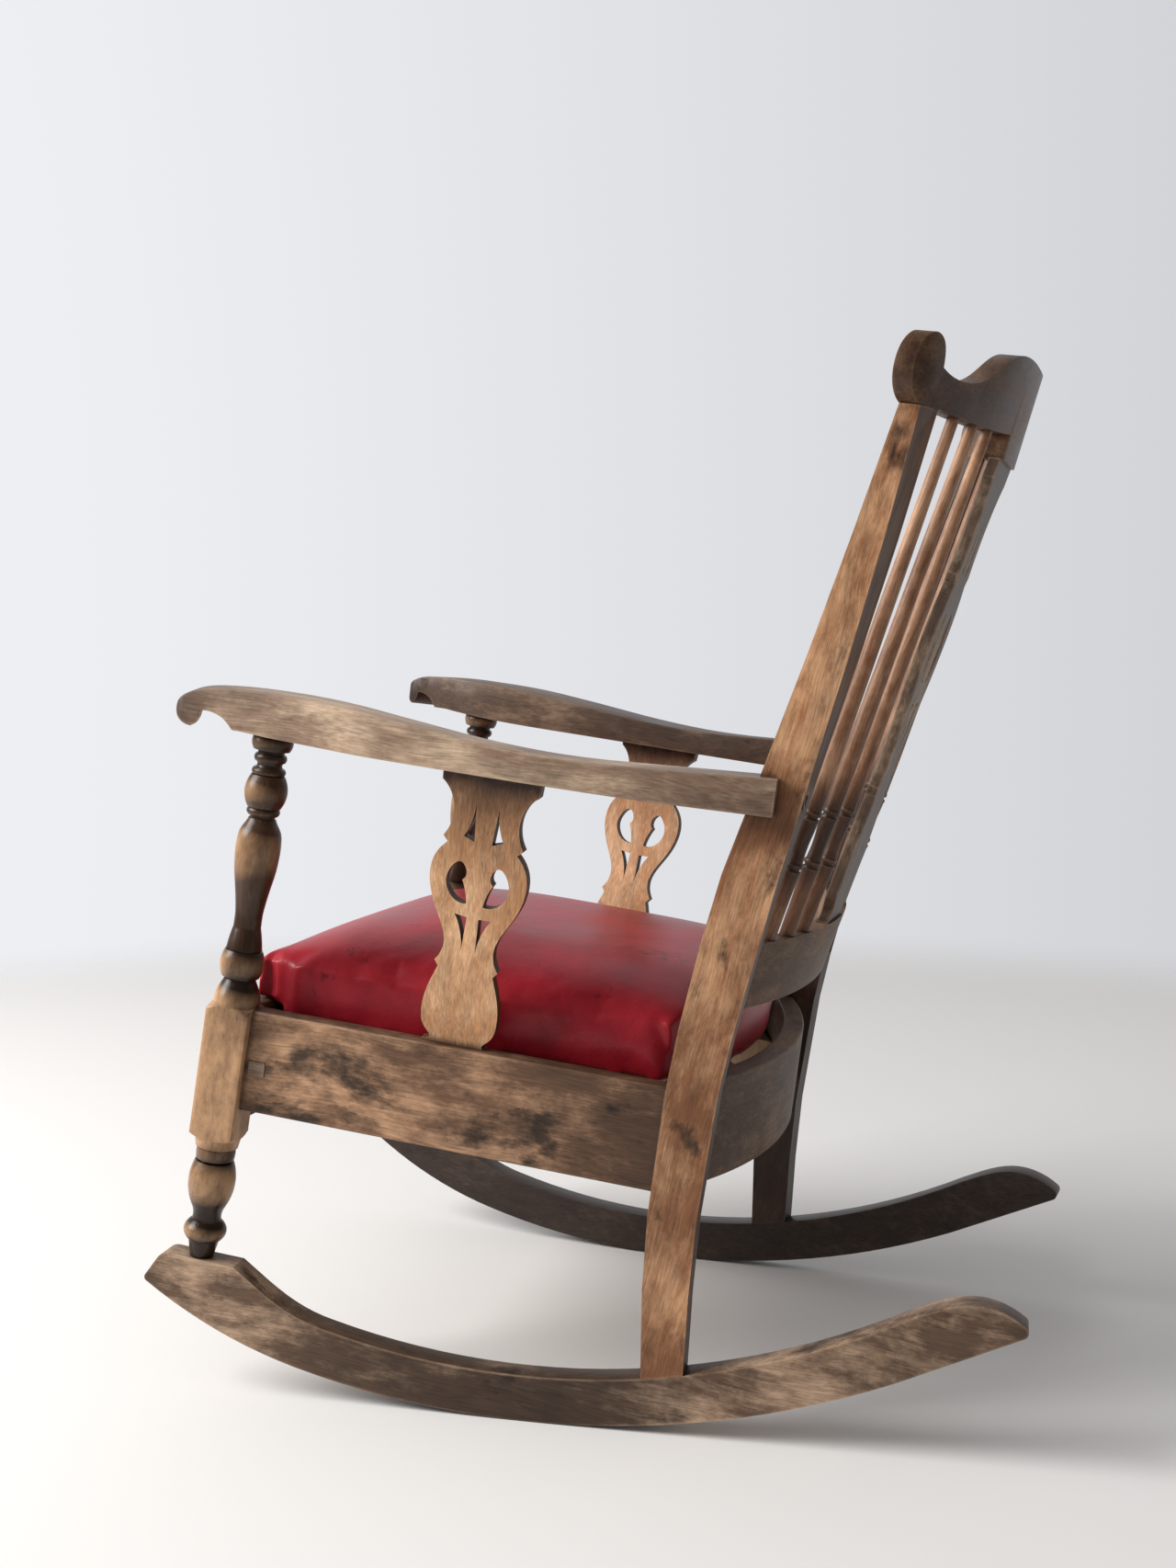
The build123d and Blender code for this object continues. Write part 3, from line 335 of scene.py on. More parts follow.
def rubbed_places(tree, in_piece, radii):
    """Where hands and feet rub: the crests of a turning, or the edges of a sawn piece."""
    if radii:
        across = add(tree, "VectorMath", {0: in_piece, 1: (0, 1, 1)}, operation="MULTIPLY")
        radius = add(tree, "VectorMath", {0: across.outputs[0]}, operation="LENGTH")
        crest = add(tree, "MapRange", {"Value": radius.outputs["Value"], "From Min": radii[0],
                                       "From Max": radii[1]})
        return crest.outputs[0]
    surface = add(tree, "NewGeometry")
    rounded = add(tree, "Bevel", {"Radius": RUBBED_EDGE}, samples=4)
    turn_off = add(tree, "VectorMath", {0: rounded.outputs[0], 1: surface.outputs["Normal"]},
                   operation="DOT_PRODUCT")
    edge = add(tree, "MapRange", {"Value": turn_off.outputs["Value"], "From Min": 0.995,
                                  "From Max": 0.90})
    return edge.outputs[0]


def worn_wood(name, kind, lay, seed, board=None, radii=None):
    """Worn, once dark-stained birch. lay: the piece's grain frame. seed moves the pattern.
    board: the way its broad face looks. radii: of a turning, where rubbing starts and is full."""
    look = LOOKS[kind]
    bare, stained, dark = ((*from_hex(shade), 1) for shade in look[:3])
    material, tree = new_material(name)
    in_piece, (figure, fibres, patch, blotch) = grain_patterns(tree, lay, seed)
    # The patches follow the figure, and more stain is left where the piece is dark.
    ends = shading_along(tree, in_piece, lay[2], look.along)
    fill = add(tree, "Math", {0: ends, 1: ENDS_SHARE, 2: patch}, operation="MULTIPLY_ADD")
    stain = add(tree, "Math", {0: figure, 1: FIGURE_SHARE, 2: fill.outputs[0]},
                operation="MULTIPLY_ADD").outputs[0]
    centre = 0.5 + 0.5 * FIGURE_SHARE + (0.5 - look.cover) * FIGURE_SHARE
    left = add(tree, "MapRange", {"Value": stain, "From Min": centre - PATCH_RIM,
                                  "From Max": centre + PATCH_RIM}, interpolation_type="SMOOTHSTEP")
    tone = add(tree, "Mix", {"Factor": left.outputs[0], "A": bare, "B": stained},
               data_type="RGBA")
    darkest = darkened(tree, look, ends, stain, centre, blotch, board)
    spotted = add(tree, "Mix", {"Factor": darkest, "A": tone.outputs["Result"], "B": dark},
                  data_type="RGBA")
    # Fibres and figure lighten and darken the wood by up to nearly a half.
    streak = add(tree, "Math", {0: figure, 1: fibres}, operation="ADD")
    shade = add(tree, "MapRange", {"Value": streak.outputs[0], "From Min": 0.65,
                                   "From Max": 1.35, "To Min": 0.54, "To Max": 1.42})
    streaked = add(tree, "Mix", {"Factor": 1.0, "A": spotted.outputs["Result"],
                                 "B": shade.outputs[0]}, data_type="RGBA", blend_type="MULTIPLY")
    # Pale worn edges and crests, broken up along their length.
    broken = add(tree, "MapRange", {"Value": patch, "From Min": 0.36, "From Max": 0.62,
                                    "To Min": look.wear, "To Max": look.wear * 0.2})
    worn = add(tree, "Math", {0: rubbed_places(tree, in_piece, radii), 1: broken.outputs[0]},
               operation="MULTIPLY")
    rubbed = add(tree, "Mix", {"Factor": worn.outputs[0], "A": streaked.outputs["Result"],
                               "B": bare}, data_type="RGBA")
    # Stain left in hollows and joints, with painted shade there found by ambient occlusion.
    hollow = add(tree, "AmbientOcclusion", {"Distance": HOLLOW_REACH}, samples=6)
    stain_and_shade = add(tree, "MapRange", {"Value": hollow.outputs["AO"], "From Min": 0.85,
                                  "From Max": 0.35, "To Max": look.grime})
    finished = add(tree, "Mix", {"Factor": stain_and_shade.outputs[0], "A": rubbed.outputs["Result"],
                                 "B": dark}, data_type="RGBA")
    # Bare wood is rougher than stained wood.
    gloss = add(tree, "MapRange", {"Value": stain, "From Min": centre - 0.2,
                                   "From Max": centre + 0.2, "To Min": look.rough + 0.16,
                                   "To Max": look.rough})
    relief = add(tree, "Math", {0: patch, 1: 0.5, 2: fibres}, operation="MULTIPLY_ADD")
    bump = add(tree, "Bump", {"Height": relief.outputs[0], "Strength": 0.5, "Distance": RELIEF})
    shader = add(tree, "BsdfPrincipled", {"Base Color": finished.outputs["Result"],
                                          "Roughness": gloss.outputs[0], "IOR": 1.5,
                                          "Specular IOR Level": 0.3,
                                          "Normal": bump.outputs[0]})
    add(tree, "OutputMaterial", {"Surface": shader.outputs[0]})
    return material


def oiled_steel():
    """Old blackened steel of the bolts and screws: dark, a little brown with rust."""
    material, tree = new_material("oiled_steel")
    place = add(tree, "TexCoord")
    rust = add(tree, "TexNoise", {"Vector": place.outputs["Object"], "Scale": 400.0,
                                  "Detail": 4.0})
    tone = add(tree, "ValToRGB", {"Fac": rust.outputs["Fac"]})
    set_stops(tone, ((0.4, from_hex("3c3836")), (0.7, from_hex("5a4232"))))
    shader = add(tree, "BsdfPrincipled", {"Base Color": tone.outputs[0], "Metallic": 0.85,
                                          "Roughness": 0.45})
    add(tree, "OutputMaterial", {"Surface": shader.outputs[0]})
    return material


def coated_cloth(shade):
    """Dark red vinyl-coated cloth: smooth, with a fine embossed grain, soft wide highlights,
    a little faded on the crown and scuffed on the sides, with painted shade in its folds."""
    material, tree = new_material("embossed_vinyl_cloth")
    place = add(tree, "TexCoord").outputs["Object"]
    # Embossed grain, about 1.6 mm, drawn a little coarser than real so that it shows.
    grain = add(tree, "TexVoronoi", {"Vector": place, "Scale": 620.0}, feature="SMOOTH_F1")
    # Soft slack of the cloth, about 60 mm, and fading over 100 mm.
    slack = add(tree, "TexNoise", {"Vector": place, "Scale": 15.0, "Detail": 3.0,
                                   "Roughness": 0.5})
    fade = add(tree, "TexNoise", {"Vector": place, "Scale": 9.0, "Detail": 5.0,
                                  "Roughness": 0.6})
    # Dark colour of the scuffs, and of the painted shade in the folds.
    grime = (*from_hex("2c0709"), 1)
    faded = tuple(min(1.0, c * 1.5 + 0.012) for c in shade)
    deep = tuple(c * 0.62 for c in shade)
    tone = add(tree, "ValToRGB", {"Fac": fade.outputs["Fac"]})
    set_stops(tone, ((0.3, deep), (0.72, faded)))
    # Dark scuffs, 3 to 8 mm.
    scuff = add(tree, "TexNoise", {"Vector": place, "Scale": 110.0, "Detail": 4.0,
                                   "Roughness": 0.6})
    scuff_at = add(tree, "TexNoise", {"Vector": place, "Scale": 17.0, "Detail": 2.0})
    both = add(tree, "Math", {0: scuff.outputs["Fac"], 1: scuff_at.outputs["Fac"]},
               operation="MULTIPLY")
    mark = add(tree, "MapRange", {"Value": both.outputs[0], "From Min": 0.36, "From Max": 0.43,
                                  "To Max": 0.5})
    scuffed = add(tree, "Mix", {"Factor": mark.outputs[0], "A": tone.outputs[0],
                                "B": grime}, data_type="RGBA")
    # Painted shade in the folds and tucks, found by ambient occlusion.
    fold = add(tree, "AmbientOcclusion", {"Distance": 12 * MM}, samples=6)
    fold_shade = add(tree, "MapRange", {"Value": fold.outputs["AO"], "From Min": 0.8,
                                  "From Max": 0.3, "To Max": 0.6})
    finished = add(tree, "Mix", {"Factor": fold_shade.outputs[0], "A": scuffed.outputs["Result"],
                                 "B": grime}, data_type="RGBA")
    relief = add(tree, "Math", {0: slack.outputs["Fac"], 1: 12.0, 2: grain.outputs["Distance"]},
                 operation="MULTIPLY_ADD")
    bump = add(tree, "Bump", {"Height": relief.outputs[0], "Strength": 0.45,
                              "Distance": 0.3 * MM})
    gloss = add(tree, "MapRange", {"Value": fade.outputs["Fac"], "From Min": 0.3,
                                   "From Max": 0.7, "To Min": 0.3, "To Max": 0.42})
    shader = add(tree, "BsdfPrincipled", {"Base Color": finished.outputs["Result"],
                                          "Roughness": gloss.outputs[0], "IOR": 1.52,
                                          "Specular IOR Level": 0.28,
                                          "Normal": bump.outputs[0]})
    add(tree, "OutputMaterial", {"Surface": shader.outputs[0]})
    return material


# ------------------------------------------------------------------ sawn pieces

def directions():
    """Grain of the sawn pieces in the chair as it stands."""
    along = (LEFT.to_3x3() @ Vector((0, 1, 0))).normalized()
    across = Vector((1, 0, 0))
    up_post = (LEFT.to_3x3() @ Vector((0, 0.13, 1))).normalized()
    up_back = (CHAIR.to_3x3() @ Vector((0, 0.2, 1))).normalized()
    up_leg = (CHAIR.to_3x3() @ Vector((0, 0, 1))).normalized()
    return along, across, up_post, up_back, up_leg


def sawn_finishes():
    """Each sawn node: its look, its grain, the way its broad face looks and its rounding."""
    along, across, up_post, up_back, up_leg = directions()
    near, far = ((place.to_3x3() @ Vector((1, 0, 0))).normalized() for _, place in SIDES)
    ahead = (CHAIR.to_3x3() @ Vector((0, -1, 0.2))).normalized()
    sizes = bpy.context.scene.rocker_sizes
    plain = sizes.arris
    seat = {name: ("hidden", grain, None, plain * 0.5) for name, grain in (
        ("seat_panel", across), ("side_cleat_left", along), ("side_cleat_right", along),
        ("front_cleat", across), ("rear_cleat", across),
        ("front_corner_block_left", up_leg), ("front_corner_block_right", up_leg),
        ("rear_corner_block_left", up_leg), ("rear_corner_block_right", up_leg))}
    return {
        # The far rocker, post and arm take darker looks: their own stain, and painted shade on
        # their inner faces.
        "rocker_left": ("rocker", along, None, plain * 1.4),
        "rocker_right": ("far_rocker_shaded", along, None, plain * 1.4),
        "back_post_left": ("post", up_post, near, plain),
        "back_post_right": ("far_post_shaded", up_post, far, plain),
        "side_rail_left": ("side_rail", along, near, plain * 0.6),
        "side_rail_right": ("side_rail", along, far, plain * 0.6),
        "front_rail": ("front_rail", across, ahead, plain),
        "rear_rail": ("rear_rail", across, None, plain * 1.3),
        "lower_back_rail": ("back_rail", across, None, plain * 1.3),
        "crest_rail": ("crest", across, None, sizes.crest_arris),
        "back_splat": ("back_splat", up_back, ahead, plain * 0.4),
        "arm_splat_left": ("arm_splat", up_leg, near, plain * 0.35),
        "arm_splat_right": ("arm_splat", up_leg, far, plain * 0.35),
        "arm_left": ("arm", along, None, sizes.arm_arris),
        "arm_right": ("far_arm_shaded", along, None, sizes.arm_arris),
        **seat,
        "rail_plugs": ("rear_rail", along, None, plain * 0.5),
    }


CAD_WELD = 0.02 * MM        # loose triangles are joined within this
FLAT_WITHIN = 0.02          # radians: faces this near to flat are made one
ARRIS_FROM = 0.6            # radians: edges sharper than this are rounded


def round_edges(thing, width):
    """Worn arrises: the loose triangles are joined, flat faces are made whole, edges rounded."""
    weld = thing.modifiers.new("joined", "WELD")
    weld.merge_threshold = CAD_WELD
    whole = thing.modifiers.new("whole_faces", "DECIMATE")
    whole.decimate_type = "DISSOLVE"
    whole.angle_limit = FLAT_WITHIN
    worn = thing.modifiers.new("worn_arris", "BEVEL")
    worn.width = width
    worn.segments = 2
    worn.limit_method = "ANGLE"
    worn.angle_limit = ARRIS_FROM
    worn.use_clamp_overlap = True


class ROCKER_OT_sawn_wood(Operator):
    """Round and finish the sawn pieces: rockers, posts, rails, splats, arms and the seat's own"""
    bl_idname = "rocker.sawn_wood"
    bl_label = "Sawn wood"

    def execute(self, context):
        for seed, (name, finish) in enumerate(sawn_finishes().items(), start=1):
            kind, grain, board, width = finish
            lay = grain_frame(name, grain)
            wood = worn_wood("worn_birch_" + name, kind, lay, seed, board=board)
            give_material(NODES[name], wood)
            round_edges(NODES[name], width)
        return {"FINISHED"}


class ROCKER_OT_fittings(Operator):
    """Finish the bolts and screws"""
    bl_idname = "rocker.fittings"
    bl_label = "Bolts and screws"

    def execute(self, context):
        steel = oiled_steel()
        for name in ("arm_bolts", "rocker_screws", "panel_screws"):
            give_material(NODES[name], steel)
        return {"FINISHED"}


# ------------------------------------------------------------------ turnings

# A feature of a turning is its length and its radii, in millimetres: two make a cone, three an
# arc through the middle one, and more a smooth curve at even steps.
LEG_BELOW = (
    (18.0, (11.3, 15.1)),                   # foot cone
    (19.0, (16.6, 20.7, 14.6)),             # ring
    (13.0, (14.2, 13.8, 15.6)),
    (47.0, (15.6, 22.6, 18.6)),             # vase
    (2.5, (15.4, 15.4)),
    (12.5, (18.4, 18.9, 18.4)),             # collar
    (9.0, (20.5, 22.0)),                    # flange under the block
)
LEG_ABOVE = (
    (24.5, (22.0, 21.6, 18.6, 15.0)),
    (2.0, (14.5, 14.5)),
    (26.0, (18.0, 21.0, 17.8)),             # lower ball
    (1.5, (16.2, 16.2)),
    (21.0, (17.0, 15.4, 13.1)),
    (105.5, (13.1, 13.2, 14.8, 17.0, 19.4, 20.8, 21.2, 19.6, 13.0)),    # long vase
    (3.0, (11.8, 11.8)),
    (7.5, (14.0, 15.9, 14.0)),
    (31.0, (15.8, 20.3, 15.8)),             # upper ball
    (7.0, (14.4, 16.1, 14.4)),
    (6.0, (13.0, 11.7, 13.0)),
    (7.0, (14.2, 15.5, 14.2)),
    (4.0, (12.6, 12.6)),
    (15.0, (17.2, 19.6, 17.5)),             # bead under the arm
)
LEG_SIDES, SPINDLE_SIDES = 96, 28             # facets round a turning
LEG_CREASE, SPINDLE_CREASE = 38, 40           # degrees from which its edges stay sharp
LEG_RUBBED = (17.8 * MM, 22.2 * MM)           # rubbing starts and is full at these radii
SPINDLE_RUBBED = (8.3 * MM, 9.2 * MM)
SPINDLE_FOOT = (66.0, (7.1, 7.2, 7.3, 7.6, 8.0))
SPINDLE_VASE = (40.0, (7.4, 6.7, 6.8, 7.5, 8.0))
SPINDLE_FOOT_IN = 8 * MM                      # how far the ends stand in the rails
SPINDLE_HEAD_IN = 10 * MM
SPINDLE_RING = ((3.5, (8.0, 8.7, 8.3)), (3.0, (7.0, 6.8, 7.0)), (4.5, (8.2, 8.8, 7.9)))
SPINDLE_TAPER = (8.0, 8.3, 8.0, 7.7, 7.3, 6.9, 6.5, 6.1, 5.7, 5.4)


def radius_at(radii, share):
    """Radius at a share of a feature's length."""
    if len(radii) == 3:
        low, middle, high = radii
        bow = middle - (low + high) / 2
        return low + (high - low) * share + bow * 4 * share * (1 - share)
    place = share * (len(radii) - 1)
    at = min(int(place), len(radii) - 2)
    local = place - at
    before = radii[max(at - 1, 0)]
    after = radii[min(at + 2, len(radii) - 1)]
    start, end = radii[at], radii[at + 1]
    if len(radii) == 2:
        return start + (end - start) * local
    lead = (end - before) / 2
    trail = (after - start) / 2
    t2, t3 = local ** 2, local ** 3
    return (2 * t3 - 3 * t2 + 1) * start + (t3 - 2 * t2 + local) * lead \
        + (3 * t2 - 2 * t3) * end + (t3 - t2) * trail


def turning_line(features, start, step):
    """Points (radius, height) of a turning's outline, in metres, from a starting height."""
    points = []
    height = start
    for length, radii in features:
        count = max(2, round(length / step)) if len(radii) > 2 else 1
        for i in range(count + 1):
            share = i / count
            points.append((radius_at(radii, share) * MM, height + length * share * MM))
        height += length * MM
    return points


def spun(bm, points, sides):
    """Spin an outline of (radius, height) about Z into a closed turning."""
    low, high = points[0][1], points[-1][1]
    outline = [(0, low)] + list(points) + [(0, high)]
    verts = [bm.verts.new((radius, 0, height)) for radius, height in outline]
    edges = [bm.edges.new(pair) for pair in zip(verts, verts[1:])]
    bmesh.ops.spin(bm, geom=verts + edges, axis=(0, 0, 1), cent=(0, 0, 0), angle=radians(360),
                   steps=sides, use_merge=True)
    bmesh.ops.remove_doubles(bm, verts=bm.verts, dist=0.01 * MM)


def shoulder_radius(share):
    """Radius of the block's rounded end, from its faces out to its corners."""
    return BLOCK_HALF + (BLOCK_CORNER - BLOCK_HALF) * (2 * share - share ** 2)


def leg_line():
    """Outline of a whole leg; the block is spun to its corners and squared afterwards."""
    steps = [i / 10 for i in range(11)]
    straight = BLOCK_HIGH - BLOCK_LOW - 2 * SHOULDER_LONG
    points = turning_line(LEG_BELOW, 0.0, TURNING_STEP)
    points += [(shoulder_radius(share), BLOCK_LOW + SHOULDER_LONG * share) for share in steps]
    points += [(BLOCK_CORNER, BLOCK_LOW + SHOULDER_LONG + straight * i / 8) for i in range(1, 8)]
    points += [(shoulder_radius(1 - share), BLOCK_HIGH - SHOULDER_LONG * (1 - share))
               for share in steps]
    return points + turning_line(LEG_ABOVE, BLOCK_HIGH, TURNING_STEP)


def square_off(bm):
    """Bring what stands out of the leg's square block back to its faces and worn corners."""
    for vert in bm.verts:
        if BLOCK_LOW <= vert.co.z <= BLOCK_HIGH:
            out = sqrt(vert.co.x ** 2 + vert.co.y ** 2)
            reach = max(abs(vert.co.x), abs(vert.co.y))
            if reach > BLOCK_HALF:
                out_square = out * BLOCK_HALF / reach
                share = min(out_square, WORN_CORNER) / out
                vert.co.x *= share
                vert.co.y *= share


class ROCKER_OT_front_legs(Operator):
    """Turned front legs with a square block for the rails"""
    bl_idname = "rocker.front_legs"
    bl_label = "Front legs"

    def execute(self, context):
        up_leg = (CHAIR.to_3x3() @ Vector((0, sin(radians(LEG_RAKE)), 1))).normalized()
        raked = Matrix.Rotation(-radians(LEG_RAKE), 4, "X")
        stand = Matrix.Translation((0, LEG_Y, PAD_Z)) @ raked
        for seed, (side, place) in enumerate(SIDES, start=LEG_SEED):
            bm = bmesh.new()
            spun(bm, leg_line(), LEG_SIDES)
            square_off(bm)
            bmesh.ops.transform(bm, matrix=place @ stand, verts=bm.verts)
            node = "front_leg_" + side
            lay = grain_frame(node, up_leg)
            wood = worn_wood("turned_birch_" + node, "leg", lay, seed, radii=LEG_RUBBED)
            leg = piece_from(bm, "turned_" + node, wood, "chair", node)
            leg.data.set_sharp_from_angle(angle=radians(LEG_CREASE))
        return {"FINISHED"}


LOWER_RAIL_RADIUS = 607 * MM
LOWER_RAIL_Y = 66 * MM
LOWER_RAIL_TOP = 455 * MM
CREST_FRONT_RADIUS = 502.5 * MM
CREST_REAR_RADIUS = 480.5 * MM
CREST_FRONT_Y = 162.5 * MM
CREST_REAR_Y = 183.5 * MM
CREST_SEAT_Z = 943 * MM
SPINDLE_X = (175, 137.5, 100, -100, -137.5, -175)


def arc_y(radius, y, x):
    """Where an arc that passes (0, y), bowed to the rear, stands at x."""
    return y - radius + sqrt(radius ** 2 - x ** 2)


def spindle_ends(x):
    foot = Vector((x, arc_y(LOWER_RAIL_RADIUS, LOWER_RAIL_Y, x), LOWER_RAIL_TOP))
    front = arc_y(CREST_FRONT_RADIUS, CREST_FRONT_Y, x)
    rear = arc_y(CREST_REAR_RADIUS, CREST_REAR_Y, x)
    head = Vector((x, (front + rear) / 2, CREST_SEAT_Z))
    return foot, head


def spindle_line(length):
    """Straight foot, two double rings with a vase between them, and a long taper to the top."""
    below = [SPINDLE_FOOT, *SPINDLE_RING, SPINDLE_VASE, *SPINDLE_RING]
    taper_long = length - sum(long for long, _ in below)
    points = turning_line(below + [(taper_long, SPINDLE_TAPER)], 0.0, SPINDLE_STEP)
    foot = (SPINDLE_FOOT[1][0] * MM, -SPINDLE_FOOT_IN)
    head = (SPINDLE_TAPER[-1] * MM, points[-1][1] + SPINDLE_HEAD_IN)
    return [foot] + points + [head]


class ROCKER_OT_back_spindles(Operator):
    """Six turned back spindles"""
    bl_idname = "rocker.back_spindles"
    bl_label = "Back spindles"

    def execute(self, context):
        for number, x_mm in enumerate(SPINDLE_X, start=1):
            foot, head = spindle_ends(x_mm * MM)
            along = head - foot
            bm = bmesh.new()
            spun(bm, spindle_line(along.length / MM), SPINDLE_SIDES)
            place = CHAIR @ turned_to(foot, along, "Z", "Y")
            bmesh.ops.transform(bm, matrix=place, verts=bm.verts)
            node = "back_spindle_%d" % number
            grain = (CHAIR.to_3x3() @ along).normalized()
            lay = grain_frame(node, grain)
            wood = worn_wood("turned_birch_" + node, "spindle", lay, SPINDLE_SEED + number,
                             radii=SPINDLE_RUBBED)
            spindle = piece_from(bm, "turned_" + node, wood, "chair", node)
            spindle.data.set_sharp_from_angle(angle=radians(SPINDLE_CREASE))
        return {"FINISHED"}


# ------------------------------------------------------------------ cushion

CUSHION_SHRINK = 5 * MM     # the pad starts smaller, and swells
CUSHION_CAP = 9 * MM        # and this is as far as any point of it may move
CUSHION_VOXEL = 5 * MM
BORDER_Z = 361 * MM         # in the level layout: the border round the top, and the rails' tops
RAIL_TOP = 319 * MM
FRONT_Y = -457 * MM
REAR_Y = 22 * MM
CROWN = 41 * MM
CROWN_Y = -160 * MM
FRONT_HALF = 245.5 * MM     # half width at the front edge, and how it narrows to the rear
SIDE_TAPER = 0.045
FRONT_SAG = 8 * MM          # the front edge is sat down, this much and this far in
SAG_RUN = 90 * MM
PRESSURE = 4.0              # of the stuffing, and the cover's stiffness against it
STIFFNESS = 12.0
BENDING = 0.6
SWELL_FRAMES = 20

# Tucks in the sides: place (x, y) on the plan, the way in, how deep, how wide, and the slant of
# the tuck along the side for each mm of height.
TUCKS = (
    ((247, -440), (-1, 0), 7.0, 5.0, 0.10),
    ((241, -455), (0, 1), 5.0, 6.0, -0.10),
    ((226, -38), (-1, 0), 7.5, 7.0, 0.35),
    ((225, -14), (-1, 0), 5.0, 6.0, 0.15),
    ((-247, -440), (1, 0), 6.0, 5.0, 0.12),
    ((-238, -455), (0, 1), 5.0, 6.0, 0.10),
    ((-226, -34), (1, 0), 6.0, 7.0, 0.30),
    ((168, -2), (0, -1), 4.0, 7.0, 0.10),
    ((-172, -2), (0, -1), 4.0, 7.0, -0.12),
)
TUCK_REACH = 22 * MM        # how far in from the side a tuck is felt


def pillow(x, y):
    """Rise of the stuffed top over its border: steep beside the border and flat in the middle."""
    half = FRONT_HALF - SIDE_TAPER * (y - FRONT_Y)
    reach = REAR_Y - CROWN_Y if y > CROWN_Y else CROWN_Y - FRONT_Y
    across = max(0.0, 1 - abs(x / half) ** 4)
    over = across * max(0.0, 1 - abs((y - CROWN_Y) / reach) ** 4)
    sag = FRONT_SAG * (1 - ease(y, FRONT_Y, FRONT_Y + SAG_RUN)) * across
    return CROWN * over - sag


def ease(value, low, high):
    """Smooth step from 0 at low to 1 at high."""
    share = min(1.0, max(0.0, (value - low) / (high - low)))
    return share * share * (3 - 2 * share)


def shape_pad(thing):
    """Raise the top to its stuffed form, and fold the cover in at the tucks by the corners."""
    level = CHAIR.inverted()
    for vert in thing.data.vertices:
        place = level @ vert.co
        top = ease(place.z, BORDER_Z - 14 * MM, BORDER_Z - 3 * MM)
        stuffed = BORDER_Z - CUSHION_SHRINK + pillow(place.x, place.y)
        place.z += top * (stuffed - place.z)
        above_rails = ease(place.z, RAIL_TOP - 4 * MM, RAIL_TOP + 6 * MM)
        below_border = 1 - ease(place.z, BORDER_Z - 6 * MM, BORDER_Z + 6 * MM)
        down_side = above_rails * below_border
        for (x, y), way_in, deep, wide, slant in TUCKS:
            lean = slant * (BORDER_Z - place.z)
            from_x, from_y = place.x - x * MM, place.y - y * MM
            along, depth = (from_y, from_x) if way_in[0] else (from_x, from_y)
            if abs(depth) < TUCK_REACH:
                fold = deep * MM * exp(-((along - lean) / (wide * MM)) ** 2) * down_side
                place.x += way_in[0] * fold
                place.y += way_in[1] * fold
        vert.co = CHAIR @ place


def swell(thing):
    """Blow the pad up a little as cloth, then hold each point near where it started."""
    scene = bpy.context.scene
    start = [vert.co.copy() for vert in thing.data.vertices]
    cloth = thing.modifiers.new("stuffing", "CLOTH")
    cloth.settings.use_pressure = True
    cloth.settings.uniform_pressure_force = PRESSURE
    cloth.settings.effector_weights.gravity = 0.0
    cloth.settings.tension_stiffness = STIFFNESS
    cloth.settings.compression_stiffness = STIFFNESS
    cloth.settings.bending_stiffness = BENDING
    cloth.point_cache.frame_start = 1
    cloth.point_cache.frame_end = SWELL_FRAMES
    for number in range(1, SWELL_FRAMES + 1):
        scene.frame_set(number)
    graph = bpy.context.evaluated_depsgraph_get()
    swollen = [vert.co.copy() for vert in thing.evaluated_get(graph).data.vertices]
    thing.modifiers.remove(cloth)
    scene.frame_set(1)
    for vert, first, last in zip(thing.data.vertices, start, swollen):
        move = last - first
        if move.length > CUSHION_CAP:
            move *= CUSHION_CAP / move.length
        vert.co = first + move


def apply_modifiers(thing):
    graph = bpy.context.evaluated_depsgraph_get()
    mesh = bpy.data.meshes.new_from_object(thing.evaluated_get(graph))
    thing.modifiers.clear()
    old = thing.data
    thing.data = mesh
    bpy.data.meshes.remove(old)


class ROCKER_OT_cushion(Operator):
    """Stuffed cushion in vinyl-coated cloth"""
    bl_idname = "rocker.cushion"
    bl_label = "Cushion"

    def execute(self, context):
        low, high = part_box("cushion")
        bm = bmesh.new()
        bm.from_mesh(NODES["cushion"].data)
        bmesh.ops.remove_doubles(bm, verts=bm.verts, dist=CAD_WELD)
        middle = (Vector(low) + Vector(high)) / 2
        size = Vector(high) - Vector(low)
        shrink = [(extent - 2 * CUSHION_SHRINK) / extent for extent in size]
        about = Matrix.Translation(-middle)
        bmesh.ops.scale(bm, vec=shrink, space=about, verts=bm.verts)
        vinyl = coated_cloth(tuple(context.scene.rocker_colours.cushion))
        pad = piece_from(bm, "vinyl_cushion", vinyl, "cushion", "cushion")
        remesh = pad.modifiers.new("voxels", "REMESH")
        remesh.mode = "VOXEL"
        remesh.voxel_size = CUSHION_VOXEL
        remesh.use_smooth_shade = True
        apply_modifiers(pad)
        shape_pad(pad)
        swell(pad)
        for face in pad.data.polygons:
            face.use_smooth = True
        smooth = pad.modifiers.new("smooth", "SMOOTH")
        smooth.factor = 0.5
        smooth.iterations = 4
        finer = pad.modifiers.new("finer", "SUBSURF")
        finer.levels = finer.render_levels = 1
        return {"FINISHED"}


# ------------------------------------------------------------------ stage

CAMERA_PLACE = (1.826, 0.561, 0.722)
CAMERA_YAW = 17.70
CAMERA_PITCH = 4.34
CAMERA_ROLL = 0.087
LENS = 56.25
LAMP_PLACE = (1.5, -2.9, 2.4)
LAMP_AIM = (0, 0, 0.45)
LAMP_SIZE = 2.4
LAMP_WATTS = 174
LAMP_COLOUR = (1.0, 0.993, 0.985)
SKY_COLOUR = (0.98, 0.98, 1.0, 1)
SKY_AHEAD, SKY_BEHIND = 0.72, 0.2       # strength of the soft light before and behind the chair
FLOOR_FADE = (0.7, 0.97)                # shares of the floor's reach where fading starts and ends


